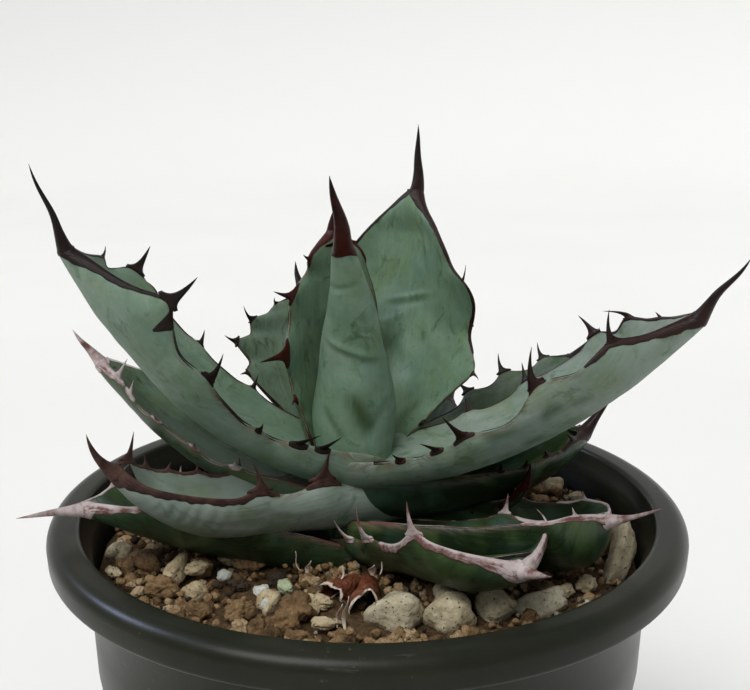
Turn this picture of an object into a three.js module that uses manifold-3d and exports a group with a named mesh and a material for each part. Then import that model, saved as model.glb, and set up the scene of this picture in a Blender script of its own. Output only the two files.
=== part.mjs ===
// A hybrid agave in a round plastic pot: an open rosette of seventeen cupped leaves, each with a horny,
// toothed margin and a long terminal spine, two withered leaves below them, and lumps of pumice on the
// soil. Millimetres, +Z up. The origin is the centre of the pot's underside.
import * as THREE from "three";
import * as BufferGeometryUtils from "three/addons/utils/BufferGeometryUtils.js";
import Module from "manifold-3d";

const wasm = await Module();
wasm.setup();

// Driving dimensions
const CLEARANCE = 0.35; // between pieces that touch on the real plant
const POT_HEIGHT = 140;
const RIM_RADIUS = 90;
const RIM_BAND = 9; // height of the band around the mouth
const MOUTH_RADIUS = 80.5;
const BODY_RADIUS = 79.2; // just below the rim
const SHOULDER_RADIUS = 76.8; // where the straight taper to the foot begins
const SHOULDER_HEIGHT = 88;
const FOOT_RADIUS = 58;
const WALL = 2.2;
const FLOOR = 2.8;
const DRAIN_HOLES = 8;
const DRAIN_RADIUS = 4;
const DRAIN_CIRCLE = 38;
const SOIL_HEIGHT = 126;
const HEART = new THREE.Vector3(-3, 0, 0); // the rosette stands a little to the left of the pot's axis
const STEM_RADIUS = 9;
const STEM_BOTTOM = 112;
const STEM_TOP = 149;
const BUD_RADIUS = 4.4;
const BUD_TOP = 178;
const LEAF_START = 5; // where a leaf's midrib leaves the stem, from the rosette's axis
const EDGE_THICKNESS = 1.3; // of a blade at its margin
const BORDER_DEPTH = 1.5; // of the horny margin, across the leaf
const LONG_TOOTH = 6; // longer teeth get two more sections
const BORDER_START = 0.07; // the margin turns horny this far along the leaf

const COLOURS = {
  youngLeaf: "#6d8f7a",
  oldLeaf: "#3e5a42",
  border: "#3a2322",
  oldBorder: "#a8969a",
  witheredLeaf: "#6b3a26",
  stem: "#8a9a72",
  pot: "#33362f",
  soil: "#5c412b",
  pumice: "#aaa084",
};

// Leaves, from the heart outward. Angles are in degrees: heading is the way the midrib points, seen from
// above, and rise is its angle above level, each as [base, tip]; roll turns the blade about its midrib; cup
// is half of the angle that the section curls through, as [base, widest place, tip]. widest and spineFrom
// are places along the leaf, from 0 at the stem to 1 at the tip. sag hangs the midrib below the line of the
// margins. A tooth is [side, place, reach outward, sweep toward the tip, lift], with side 1 on the left.
const LEAVES = [
  {
    name: "leaf_01_front", heading: [262, 256], rise: [92, 50], bend: 1.3, length: 92, base: 149.5,
    roll: [12, 4], halfWidth: [12.2, 15.2], widest: 0.18, spineFrom: 0.74, taper: 1.2,
    cup: [79, 78, 80], depth: 5.6, spineRadius: 3, sag: 0,
    teeth: [[1, 0.37, 2.2, -1.8, 0.3], [1, 0.12, 3.5, 1, 2], [-1, 0.16, 3, 0.5, 2]],
  },
  {
    name: "leaf_02_back", heading: [117, 117], rise: [73, 96], bend: 1, length: 77, base: 149,
    roll: [-2, 0], halfWidth: [13.4, 20.4], widest: 0.45, spineFrom: 0.88, taper: 2, cup: [46, 39, 28],
    depth: 6, spineRadius: 2.2, sag: 0,
    teeth: [
      [1, 0.8, 3.4, 1.6, 0.3], [1, 0.67, 7, 2.2, -1.6], [1, 0.46, 9.5, -0.6, -2.8], [1, 0.28, 3.4, -1, 0.5],
      [-1, 0.84, 2.2, 0.8, 0.4], [-1, 0.66, 5, 1.5, 0], [-1, 0.44, 5.5, 0, 0],
    ],
  },
  {
    name: "leaf_03_right_back", heading: [67, 55], rise: [52, 90], bend: 1.1, length: 104.5, base: 148,
    roll: [11, -21], halfWidth: [10, 27.5], widest: 0.36, spineFrom: 0.81, taper: 2.3,
    cup: [50, 12, 70], depth: 6, spineRadius: 2.4, sag: 0,
    teeth: [
      [-1, 0.55, 5, 3.2, 1], [-1, 0.46, 1.6, -0.3, 0.8], [-1, 0.35, 5, -2.6, 0], [-1, 0.14, 3, -1, 1.4],
      [1, 0.55, 5, 1.5, 0.5], [1, 0.4, 6, 0, 0.5],
    ],
  },
  {
    name: "leaf_04_back_left", heading: [110, 114], rise: [38.5, 53.5], bend: 1, length: 73.5,
    base: 147.5, roll: [-1, -3], halfWidth: [13.3, 27], widest: 0.57, spineFrom: 0.84, taper: 1.8,
    cup: [50, 25, 30], depth: 6.5, spineRadius: 2, sag: 0,
    teeth: [
      [1, 0.79, 2.6, 0.4, 2.4], [1, 0.71, 4.4, 2.6, 2.6], [1, 0.6, 4.6, 1.1, 0.8], [1, 0.45, 3, -0.9, 0],
      [-1, 0.72, 4, 1.5, 1], [-1, 0.52, 5, 0.5, 1],
    ],
  },
  {
    name: "leaf_05_left_tall", heading: [193, 217], rise: [13, 74], bend: 0.8, length: 122, base: 153.5,
    roll: [-17, 0], halfWidth: [8.6, 25.5], widest: 0.66, spineFrom: 0.81, taper: 1.3,
    cup: [42, 52, 40], depth: 6.6, spineRadius: 2.3, sag: 0,
    teeth: [
      [-1, 0.72, 3.6, 1.3, -0.5], [-1, 0.63, 8.6, 1.6, 0.8], [-1, 0.4, 4, 1, 0.5], [-1, 0.24, 4, 0, 0.5],
      [1, 0.66, 9.2, 2.1, 1.8], [1, 0.45, 7.2, 3, 2.5], [1, 0.25, 3.6, 1.1, 0.4], [1, 0.14, 7, -2.6, 2],
      [1, 0.08, 6, -2.6, 3],
    ],
  },
  {
    name: "leaf_06_right_tall", heading: [-22, -36], rise: [10.5, 57.5], bend: 1, length: 122.5,
    base: 152.5, roll: [9, 1], halfWidth: [11, 21.7], widest: 0.64, spineFrom: 0.84, taper: 1.3,
    cup: [30, 66, 53], depth: 6.4, spineRadius: 2.4, sag: 0,
    teeth: [
      [1, 0.58, 6.4, -1.4, 0.8], [1, 0.68, 5, -4.6, 1.8], [1, 0.75, 2, -0.3, 0], [1, 0.38, 5, 0.5, 0.8],
      [1, 0.22, 4, -0.5, 1], [-1, 0.72, 6, 4.8, 2], [-1, 0.53, 7.6, 5, 3.2], [-1, 0.3, 8.6, -0.5, 2],
      [-1, 0.22, 6, -1.4, 0.3], [-1, 0.12, 4.6, 0, 0.8],
    ],
  },
  {
    name: "leaf_07_right_back_low", heading: [32, 32], rise: [3, 40.5], bend: 1, length: 95,
    base: 144.5, roll: [-2, -2], halfWidth: [13, 15.8], widest: 0.48, spineFrom: 0.85, taper: 1.9,
    cup: [65, 32, 52], depth: 7.6, spineRadius: 2.2, sag: 0,
    teeth: [
      [1, 0.52, 5.2, -0.4, 0], [1, 0.66, 5.4, 3, 1.4], [1, 0.79, 4.6, 2.4, 0.8], [-1, 0.34, 4.5, 0, 0.5],
      [-1, 0.5, 5, 0.5, 0.5], [-1, 0.66, 5, 1.5, 0.8],
    ],
  },
  {
    name: "leaf_08_left_low", heading: [164.5, 166], rise: [12.5, 48.5], bend: 1.3, length: 96.5,
    base: 140, roll: [-5, -5.5], halfWidth: [13.1, 16.9], widest: 0.39, spineFrom: 0.86, taper: 2,
    cup: [63, 38, 55], depth: 6.3, spineRadius: 2.2, sag: 0,
    teeth: [
      [1, 0.78, 7.4, 0.4, 4], [1, 0.71, 6, 0.8, 2.4], [1, 0.59, 4.6, 1.4, 0.2], [1, 0.44, 4, -0.5, 0.9],
      [1, 0.3, 4.4, 0, 0.9], [-1, 0.7, 5, 1, 1], [-1, 0.52, 5, 0, 1],
    ],
  },
  {
    name: "leaf_09_right_low", heading: [12.5, 18], rise: [-8.5, 64], bend: 1.7, length: 84.7,
    base: 143, roll: [-5.5, 2.5], halfWidth: [13.2, 18.7], widest: 0.5, spineFrom: 0.81, taper: 1.8,
    cup: [68, 57, 54], depth: 7.4, spineRadius: 2.2, sag: 0,
    teeth: [
      [-1, 0.74, 5, -1, 0.8], [-1, 0.6, 3.8, -0.7, 0], [-1, 0.5, 3.4, 0.2, -0.5], [-1, 0.4, 3.2, 0, 0],
      [1, 0.66, 5, 1, 0.8], [1, 0.48, 5, 0, 0.8],
    ],
  },
  {
    name: "leaf_10_left_front", heading: [211, 203.5], rise: [6.5, 73], bend: 3.7, length: 80,
    base: 145.5, roll: [8, 1], halfWidth: [11.4, 17.1], widest: 0.5, spineFrom: 0.83, taper: 2.4,
    cup: [75, 75, 38], depth: 6.6, spineRadius: 2.4, sag: 0.76,
    teeth: [
      [1, 0.39, 6.8, 2.6, 1.6], [1, 0.14, 8.4, -1, 0.4], [-1, 0.79, 8.2, 1.1, 0.8],
      [-1, 0.7, 3.6, 1.2, -0.4], [-1, 0.61, 2.4, -0.6, 0], [-1, 0.5, 2.6, 0.3, 0], [-1, 0.34, 4, 0, 0.5],
    ],
  },
  {
    name: "leaf_11_front_right", heading: [-51, -61], rise: [13.5, 12.7], bend: 1, length: 78,
    base: 130.5, roll: [0.5, -7], halfWidth: [11.8, 23], widest: 0.66, spineFrom: 0.86, taper: 1.8,
    cup: [26, 66, 66], depth: 6, spineRadius: 2, sag: 0.42, old: true,
    teeth: [
      [-1, 0.61, 8, 0.5, 1.8], [-1, 0.27, 7.6, 0.7, 5], [-1, 0.12, 6, -0.3, 3.2], [1, 0.7, 2.8, -2.4, 2.2],
      [1, 0.5, 5, 0, 1],
    ],
  },
  {
    name: "leaf_12_left_lowest", heading: [195.5, 203.5], rise: [22, -10], bend: 2.3, length: 92.4,
    base: 127.6, roll: [2.5, 12], halfWidth: [15.5, 20.4], widest: 0.49, spineFrom: 0.81, taper: 2.1,
    cup: [63, 57, 51], depth: 6.4, spineRadius: 2.2, sag: 0.76, old: true,
    teeth: [
      [-1, 0.71, 4.6, 0, 0.4], [-1, 0.5, 4.6, 0, 0.5], [1, 0.66, 2.2, 0, -0.4], [1, 0.56, 2.2, 0, -0.4],
    ],
  },
  {
    name: "leaf_14_right_lowest", heading: [18, -56], rise: [5, 84], bend: 2.2, length: 59, base: 128,
    roll: [0, 0], halfWidth: [7, 5.2], widest: 0.4, spineFrom: 0.88, taper: 1.8, cup: [50, 49, 43],
    depth: 2.6, spineRadius: 1.2, sag: 0.6, old: true,
    teeth: [[-1, 0.55, 2.4, 0.5, 0.5], [1, 0.6, 2.8, 0.5, 0.5], [1, 0.4, 3, 0, 0.5]],
  },
  {
    name: "leaf_13_right_front", heading: [-24, -32], rise: [4.7, 22], bend: 1.5, length: 84, base: 137,
    roll: [-1.5, -14], halfWidth: [14.3, 22], widest: 0.7, spineFrom: 0.82, taper: 2.8,
    cup: [57, 75, 75], depth: 6.4, spineRadius: 2.2, sag: 0.84, old: true,
    teeth: [[1, 0.68, 2.4, -0.5, 0], [-1, 0.78, 2.4, 0, -0.2], [1, 0.45, 4.5, 0, 0.6]],
  },
  {
    name: "leaf_15_back_right_low", heading: [62, 64], rise: [4, 32], bend: 1.2, length: 74, base: 137,
    roll: [0, 0], halfWidth: [12, 15.5], widest: 0.5, spineFrom: 0.83, taper: 1.9, cup: [60, 42, 50],
    depth: 6.4, spineRadius: 2, sag: 0, old: true,
    teeth: [[1, 0.7, 4, 1, 0.6], [1, 0.5, 4, 0, 0.6], [-1, 0.68, 4, 1, 0.6], [-1, 0.48, 4, 0, 0.6]],
  },
  {
    name: "leaf_16_back_low", heading: [96, 92], rise: [4, 36], bend: 1.2, length: 88, base: 136,
    roll: [0, 0], halfWidth: [12.5, 16.5], widest: 0.5, spineFrom: 0.84, taper: 1.9, cup: [60, 44, 52],
    depth: 6.6, spineRadius: 2.1, sag: 0,
    teeth: [
      [1, 0.74, 5, 1, 0.8], [1, 0.58, 5, 0, 0.8], [1, 0.42, 4.5, 0, 0.8], [-1, 0.72, 5, 1, 0.8],
      [-1, 0.55, 5, 0, 0.8], [-1, 0.4, 4.5, 0, 0.8],
    ],
  },
  {
    name: "leaf_17_back_left_low", heading: [138, 142], rise: [3, 30], bend: 1.2, length: 86, base: 132,
    roll: [0, 0], halfWidth: [12.5, 16.5], widest: 0.5, spineFrom: 0.84, taper: 1.9, cup: [60, 44, 52],
    depth: 6.4, spineRadius: 2.1, sag: 0, old: true,
    teeth: [
      [1, 0.72, 4.6, 1, 0.6], [1, 0.54, 4.6, 0, 0.6], [1, 0.38, 4, 0, 0.6], [-1, 0.7, 4.6, 1, 0.6],
      [-1, 0.52, 4.6, 0, 0.6],
    ],
  },
];

// Withered leaves: what is left of them lies curled on the soil, with no horny margin
const WITHERED_LEAVES = [
  {
    name: "withered_leaf_front", heading: [276, 272], rise: [0, 0], bend: 1, length: 44, base: 129.5,
    roll: [0, 14], halfWidth: [8, 9], widest: 0.6, spineFrom: 1, freeFrom: 0.45, taper: 2.2,
    cup: [60, 96, 100], depth: 2.4, spineRadius: 3, sag: 0,
  },
  {
    name: "withered_leaf_left", heading: [259, 255], rise: [0, 0], bend: 1, length: 37, base: 129.5,
    roll: [0, -12], halfWidth: [7, 8], widest: 0.6, spineFrom: 1, freeFrom: 0.4, taper: 2.2,
    cup: [60, 92, 96], depth: 2.4, spineRadius: 3, sag: 0,
  },
];

// Pumice lumps pressed into the soil: centre, half sizes, turn about the vertical and lean, in degrees
const STONES = [
  { at: [6.6, -48.4, 128.8], half: [7.4, 6.2, 6], turn: 8, lean: 4 },
  { at: [20.6, -49.2, 128.8], half: [7.4, 6, 6], turn: -12, lean: -6 },
  { at: [19.9, -42, 130.8], half: [3.6, 3.2, 3.2], turn: 20, lean: 0 },
  { at: [32.6, -44.2, 128.8], half: [5.2, 4.8, 5], turn: 35, lean: 8 },
  { at: [45, -41.4, 127.8], half: [7.8, 4.6, 4], turn: 30, lean: -6 },
  { at: [69.5, -18, 130.5], half: [9.4, 4.2, 4.4], turn: 62, lean: -38 },
  { at: [-52.3, -26.5, 128.8], half: [7, 3.2, 3.4], turn: 74, lean: -15 },
  { at: [-45.5, -34.6, 127.8], half: [4, 2.6, 2.8], turn: -8, lean: 0 },
  { at: [-25, -41, 128], half: [5.8, 2.9, 3.2], turn: 76, lean: 0 },
  { at: [-14.4, -43, 128], half: [3.8, 2.7, 2.9], turn: -40, lean: 0 },
  { at: [-70.5, -9.5, 127.6], half: [4.2, 3.6, 3.4], turn: 80, lean: 0 },
  { at: [59.5, 39.5, 127.8], half: [4.4, 3.4, 3.4], turn: 20, lean: 10 },
];

const radians = THREE.MathUtils.degToRad;
const { clamp, lerp, smoothstep } = THREE.MathUtils;

// Solids

function solidFrom(points, faces) {
  let volume = 0;
  for (const [a, b, c] of faces) {
    volume += points[a].dot(points[b].clone().cross(points[c])) / 6;
  }
  const vertProperties = new Float32Array(points.flatMap((point) => point.toArray()));
  const ordered = volume > 0 ? faces : faces.map(([a, b, c]) => [a, c, b]);
  const triVerts = new Uint32Array(ordered.flat());
  return new wasm.Manifold(new wasm.Mesh({ numProp: 3, vertProperties, triVerts }));
}

function solidFromGeometry(geometry) {
  const bare = geometry.clone();
  bare.deleteAttribute("normal");
  bare.deleteAttribute("uv");
  const merged = BufferGeometryUtils.mergeVertices(bare, 1e-4);
  const position = merged.getAttribute("position");
  const points = [];
  for (let i = 0; i < position.count; i++) {
    points.push(new THREE.Vector3().fromBufferAttribute(position, i));
  }
  const index = Array.from(merged.getIndex().array);
  const faces = [];
  for (let i = 0; i < index.length; i += 3) {
    faces.push(index.slice(i, i + 3));
  }
  const whole = faces.filter(([a, b, c]) => a !== b && b !== c && c !== a);
  return solidFrom(points, whole);
}

function boundsOf(solid) {
  const mesh = solid.getMesh();
  return new THREE.Box3().setFromArray(mesh.vertProperties);
}

function largestPiece(solid) {
  let best = null;
  let bestSize = -1;
  for (const piece of solid.decompose()) {
    const size = boundsOf(piece).getSize(new THREE.Vector3()).lengthSq() * piece.getMesh().triVerts.length;
    if (size > bestSize) {
      best = piece;
      bestSize = size;
    }
  }
  return best;
}

// Cuts away whatever reaches into the grown copies of the pieces that were placed before
function cutClear(solid, obstacles) {
  let rest = solid;
  for (const obstacle of obstacles) {
    if (obstacle.bounds.intersectsBox(boundsOf(rest))) {
      rest = rest.subtract(obstacle.solid);
    }
  }
  return largestPiece(rest);
}

function obstacleFrom(solid) {
  return { solid, bounds: boundsOf(solid) };
}

// A tube of rings with equal point counts, closed by a fan at each end
function loft(rings) {
  const points = rings.flat();
  const count = rings[0].length;
  const faces = [];
  for (let i = 0; i + 1 < rings.length; i++) {
    for (let k = 0; k < count; k++) {
      const a = i * count + k;
      const b = i * count + ((k + 1) % count);
      faces.push([a, b, b + count], [a, b + count, a + count]);
    }
  }
  const last = (rings.length - 1) * count;
  for (let k = 1; k + 1 < count; k++) {
    faces.push([0, k + 1, k], [last, last + k, last + k + 1]);
  }
  return solidFrom(points, faces);
}

// A curved plate between two grids of points that are split into triangles alike
function plate(upper, lower) {
  const rows = upper.length;
  const columns = upper[0].length;
  const points = [...upper.flat(), ...lower.flat()];
  const under = rows * columns;
  const at = (i, j) => i * columns + j;
  const faces = [];
  for (let i = 0; i + 1 < rows; i++) {
    for (let j = 0; j + 1 < columns; j++) {
      const [a, b, c, d] = [at(i, j), at(i, j + 1), at(i + 1, j + 1), at(i + 1, j)];
      faces.push([a, b, c], [a, c, d]);
      faces.push([a + under, c + under, b + under], [a + under, d + under, c + under]);
    }
  }
  const side = (a, b) => faces.push([a, a + under, b + under], [a, b + under, b]);
  for (let j = 0; j + 1 < columns; j++) {
    side(at(0, j), at(0, j + 1));
    side(at(rows - 1, j + 1), at(rows - 1, j));
  }
  for (let i = 0; i + 1 < rows; i++) {
    side(at(i, columns - 1), at(i + 1, columns - 1));
    side(at(i + 1, 0), at(i, 0));
  }
  return solidFrom(points, faces);
}

// Leaf form

function midribDirection(leaf, s) {
  const heading = radians(lerp(...leaf.heading, s));
  const rise = radians(lerp(...leaf.rise, s ** leaf.bend));
  return new THREE.Vector3(
    Math.cos(rise) * Math.cos(heading),
    Math.cos(rise) * Math.sin(heading),
    Math.sin(rise),
  );
}

function midribPoint(leaf, s) {
  const steps = 60;
  const start = radians(leaf.heading[0]);
  const point = new THREE.Vector3(Math.cos(start), Math.sin(start), 0);
  point.multiplyScalar(LEAF_START).add(HEART);
  point.z = leaf.base;
  for (let i = 0; i < steps; i++) {
    point.addScaledVector(midribDirection(leaf, (s * (i + 0.5)) / steps), (s * leaf.length) / steps);
  }
  return point;
}

function spineRadiusAt(leaf, s) {
  return leaf.spineRadius * clamp((1 - s) / (1 - leaf.spineFrom), 0, 1) ** 0.85;
}

function halfWidthAt(leaf, s) {
  const [atBase, atWidest] = leaf.halfWidth;
  if (s <= leaf.widest) {
    return lerp(atBase, atWidest, smoothstep(s, 0, leaf.widest));
  }
  if (s >= leaf.spineFrom) {
    return spineRadiusAt(leaf, s);
  }
  const past = (s - leaf.widest) / (leaf.spineFrom - leaf.widest);
  return lerp(atWidest, leaf.spineRadius, past ** leaf.taper);
}

function cupAt(leaf, s) {
  const [atBase, atWidest, atTip] = leaf.cup;
  const toWidest = lerp(atBase, atWidest, smoothstep(s, 0, leaf.widest));
  const toTip = lerp(atWidest, atTip, smoothstep(s, leaf.widest, 1));
  return radians(s < leaf.widest ? toWidest : toTip);
}

// The section of a leaf at one place: its centre, its axes, its half width and its curl
function sectionAt(leaf, s) {
  const along = midribDirection(leaf, s);
  const heading = radians(lerp(...leaf.heading, s));
  const level = new THREE.Vector3(-Math.sin(heading), Math.cos(heading), 0);
  const roll = radians(lerp(...leaf.roll, s));
  const across = level.clone().applyAxisAngle(along, roll);
  const up = along.clone().cross(across);
  const halfWidth = halfWidthAt(leaf, s);
  const cup = cupAt(leaf, s);
  const curlHeight = (halfWidth * (1 - Math.cos(cup))) / cup;
  const centre = midribPoint(leaf, s).addScaledVector(up, -leaf.sag * curlHeight);
  return { s, along, across, up, halfWidth, cup, centre };
}

// A point at a distance across the curled section, and the way outward and the way up from it there
function acrossSection(section, distance) {
  const { across, up, halfWidth, cup, centre } = section;
  const radius = halfWidth / cup;
  const angle = clamp(distance, -halfWidth, halfWidth) / radius;
  const beyond = Math.abs(distance) - Math.min(Math.abs(distance), halfWidth);
  const toLeft = across.clone().multiplyScalar(Math.cos(angle)).addScaledVector(up, Math.sin(angle));
  const normal = up.clone().multiplyScalar(Math.cos(angle)).addScaledVector(across, -Math.sin(angle));
  const outward = toLeft.multiplyScalar(distance < 0 ? -1 : 1);
  const point = centre
    .clone()
    .addScaledVector(across, radius * Math.sin(angle))
    .addScaledVector(up, radius * (1 - Math.cos(angle)))
    .addScaledVector(outward, beyond);
  return { point, outward, normal };
}

// Teeth sit on low fleshy lobes of the blade
function lobeAt(leaf, side, s) {
  let height = 0;
  for (const [toothSide, place, reach] of leaf.teeth ?? []) {
    if (toothSide === side) {
      const away = ((s - place) * leaf.length) / (2.5 + 0.4 * reach);
      height += 0.16 * reach * Math.exp(-away * away);
    }
  }
  return height;
}

function borderDepthAt(leaf, s) {
  return leaf.teeth ? BORDER_DEPTH * smoothstep(s, -0.1, BORDER_START + 0.1) : 0;
}

// Half of the blade's width without its horny margin
function bladeReach(leaf, side, section) {
  const margin = leaf.teeth ? borderDepthAt(leaf, section.s) + CLEARANCE : 0;
  return Math.max(section.halfWidth + lobeAt(leaf, side, section.s) - margin, 0.5);
}

// A blade starts at the stem's surface and ends under the terminal spine
function bladeStations(leaf) {
  const count = leaf.teeth ? 10 : 5;
  const rise = radians(leaf.rise[0]);
  const toStem = (STEM_RADIUS + 2 * CLEARANCE - LEAF_START) * Math.max(Math.cos(rise), 0);
  const start = leaf.freeFrom ?? toStem / leaf.length;
  const end = leaf.spineFrom - CLEARANCE / leaf.length;
  const stations = [];
  for (let i = 0; i <= count; i++) {
    stations.push(lerp(start, end, i / count));
  }
  return stations;
}

// growth swells the blade on every side, to cut room for it out of a neighbour
function bladeSolid(leaf, growth) {
  const columns = 5;
  const stations = bladeStations(leaf);
  const upper = [];
  const lower = [];
  for (const s of stations) {
    const section = sectionAt(leaf, s);
    const shift = s === stations[0] ? -growth : s === stations.at(-1) ? growth : 0;
    const top = [];
    const bottom = [];
    for (let j = 0; j <= columns; j++) {
      const u = (2 * j) / columns - 1;
      const reach = bladeReach(leaf, Math.sign(u), section) + growth;
      const place = acrossSection(section, u * reach);
      const fade = 1 - 0.72 * smoothstep(s, 0, leaf.spineFrom);
      const fleshy = leaf.depth * fade * (1 - u * u) ** 0.7;
      const edge = EDGE_THICKNESS / 2 + growth;
      place.point.addScaledVector(section.along, shift);
      top.push(place.point.clone().addScaledVector(place.normal, edge));
      bottom.push(place.point.clone().addScaledVector(place.normal, -edge - fleshy));
    }
    upper.push(top);
    lower.push(bottom);
  }
  return plate(upper, lower);
}

// Horny margin

// Where the blade's edge runs between two of its stations, and the frame there
function bladeEdge(leaf, side, s) {
  const stations = bladeStations(leaf);
  const last = stations.length - 1;
  let k = 0;
  while (k < last - 1 && stations[k + 1] < s) {
    k += 1;
  }
  const part = (s - stations[k]) / (stations[k + 1] - stations[k]);
  const ends = [stations[k], stations[k + 1]].map((station) => {
    const section = sectionAt(leaf, station);
    const place = acrossSection(section, side * (bladeReach(leaf, side, section) + CLEARANCE));
    return { ...place, along: section.along };
  });
  const mix = (key) => ends[0][key].clone().lerp(ends[1][key], part);
  return { point: mix("point"), outward: mix("outward"), normal: mix("normal"), along: mix("along") };
}

function toothHalfBase(reach, growth) {
  return 0.9 + 0.55 * reach + 1.5 * growth;
}

function borderStations(leaf, side, growth) {
  const stations = bladeStations(leaf).filter((s) => s > BORDER_START);
  stations.unshift(BORDER_START);
  for (const [toothSide, place, reach] of leaf.teeth) {
    if (toothSide === side) {
      const half = toothHalfBase(reach, growth) / leaf.length;
      const steps = reach > LONG_TOOTH ? [-1, -0.45, 0, 0.45, 1] : [-1, 0, 1];
      stations.push(...steps.map((step) => place + step * half));
    }
  }
  const sorted = stations.filter((s) => s >= BORDER_START && s < leaf.spineFrom).sort((a, b) => a - b);
  return sorted.filter((s, i) => i === 0 || s - sorted[i - 1] > 0.003);
}

function toothPush(leaf, side, s, frame, growth) {
  const push = new THREE.Vector3();
  for (const [toothSide, place, reach, sweep, lift] of leaf.teeth) {
    const near = 1 - (Math.abs(s - place) * leaf.length) / toothHalfBase(reach, growth);
    if (toothSide === side && near > 0) {
      push.addScaledVector(frame.outward, reach * near ** 1.4);
      push.addScaledVector(frame.along, sweep * near ** 2);
      push.addScaledVector(frame.normal, lift * near ** 2);
    }
  }
  return push;
}

// Each ring of the strip is an edge that faces the blade and a sharp edge outside, which teeth draw out.
// A grown strip has a blunt edge there, as wide as the clearance on both sides.
function borderStrip(leaf, side, growth) {
  const half = EDGE_THICKNESS / 2 + growth;
  const ringFrom = (inner, outer, normal) => {
    const above = inner.clone().addScaledVector(normal, half);
    const below = inner.clone().addScaledVector(normal, -half);
    if (growth === 0) {
      return [above, below, outer];
    }
    const blunt = [-growth, growth].map((lift) => outer.clone().addScaledVector(normal, 1.3 * lift));
    return [above, below, ...blunt];
  };
  const rings = borderStations(leaf, side, growth).map((s) => {
    const frame = bladeEdge(leaf, side, s);
    const inner = frame.point.clone().addScaledVector(frame.outward, -growth);
    const outer = frame.point
      .clone()
      .addScaledVector(frame.outward, borderDepthAt(leaf, s) + growth)
      .add(toothPush(leaf, side, s, frame, growth));
    return ringFrom(inner, outer, frame.normal);
  });
  const root = sectionAt(leaf, leaf.spineFrom + 1.5 / leaf.length);
  const middle = spineCentre(root, leaf);
  const outside = middle.clone().addScaledVector(root.across, side * leaf.spineRadius * 0.6);
  rings.push(ringFrom(middle, outside, root.up));
  return loft(rings);
}

function spineCentre(section, leaf) {
  const drop = 0.4 * spineRadiusAt(leaf, section.s);
  return section.centre.clone().addScaledVector(section.up, -drop);
}

function spineCone(leaf, growth) {
  const sides = 6;
  const rings = [0, 0.2, 0.5, 0.8, 1].map((part) => {
    const s = lerp(leaf.spineFrom, 1, part);
    const section = sectionAt(leaf, s);
    const radius = Math.max(spineRadiusAt(leaf, s), 0.15) + growth;
    const centre = spineCentre(section, leaf);
    const ring = [];
    for (let k = 0; k < sides; k++) {
      const angle = (2 * Math.PI * k) / sides;
      ring.push(
        centre
          .clone()
          .addScaledVector(section.across, radius * Math.cos(angle))
          .addScaledVector(section.up, 0.85 * radius * Math.sin(angle)),
      );
    }
    return ring;
  });
  return loft(rings);
}

function borderSolid(leaf, growth) {
  return spineCone(leaf, growth).add(borderStrip(leaf, 1, growth)).add(borderStrip(leaf, -1, growth));
}

// Stem, pot, soil and stones

function latheSolid(profile, segments) {
  const outline = profile.map(([radius, z]) => new THREE.Vector2(radius, z));
  const geometry = new THREE.LatheGeometry(outline, segments).rotateX(Math.PI / 2);
  return solidFromGeometry(geometry);
}

function stemSolid(growth) {
  const profile = [
    [0, STEM_BOTTOM - growth],
    [STEM_RADIUS + growth, STEM_BOTTOM - growth],
    [STEM_RADIUS + growth, STEM_TOP + growth],
    [BUD_RADIUS + growth, STEM_TOP + growth + 0.5],
    [BUD_RADIUS * 0.9 + growth, lerp(STEM_TOP, BUD_TOP, 0.4)],
    [0, BUD_TOP + growth],
  ];
  const outline = profile.map(([radius, z]) => new THREE.Vector2(radius, z));
  const geometry = new THREE.LatheGeometry(outline, 16).rotateX(Math.PI / 2).translate(HEART.x, HEART.y, 0);
  return solidFromGeometry(geometry);
}

const bodyTop = POT_HEIGHT - RIM_BAND;
const footTop = [FOOT_RADIUS + 2, 2];
const shoulder = [SHOULDER_RADIUS, SHOULDER_HEIGHT];
const aboveShoulder = [BODY_RADIUS - 0.6, SHOULDER_HEIGHT + 10];
const outerWall = [[FOOT_RADIUS, 0], footTop, shoulder, aboveShoulder, [BODY_RADIUS, bodyTop]];
const innerWall = [
  [MOUTH_RADIUS, POT_HEIGHT - 0.8],
  [MOUTH_RADIUS - 2.4, bodyTop + 2],
  [BODY_RADIUS - WALL, bodyTop - 7],
  ...[aboveShoulder, shoulder].map(([radius, z]) => [radius - WALL, z]),
  [FOOT_RADIUS - 1, FLOOR],
];

function potSolid() {
  const rim = [
    [RIM_RADIUS, bodyTop],
    [RIM_RADIUS, POT_HEIGHT - 2.6],
    [RIM_RADIUS - 1.2, POT_HEIGHT - 0.5],
    [RIM_RADIUS - 3.4, POT_HEIGHT],
    [MOUTH_RADIUS + 1, POT_HEIGHT],
  ];
  const underside = [0, 0];
  const floor = [0, FLOOR];
  let pot = latheSolid([underside, ...outerWall, ...rim, ...innerWall, floor], 36);
  for (let i = 0; i < DRAIN_HOLES; i++) {
    const angle = (2 * Math.PI * i) / DRAIN_HOLES;
    const hole = new THREE.CylinderGeometry(DRAIN_RADIUS, DRAIN_RADIUS, 4 * FLOOR, 8)
      .rotateX(Math.PI / 2)
      .translate(DRAIN_CIRCLE * Math.cos(angle), DRAIN_CIRCLE * Math.sin(angle), 0);
    pot = pot.subtract(solidFromGeometry(hole));
  }
  return pot;
}

// Even grey noise from 0 to 1 for two whole numbers
function speckle(i, j) {
  const wave = Math.sin(i * 127.1 + j * 311.7) * 43758.5453;
  return wave - Math.floor(wave);
}

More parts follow.
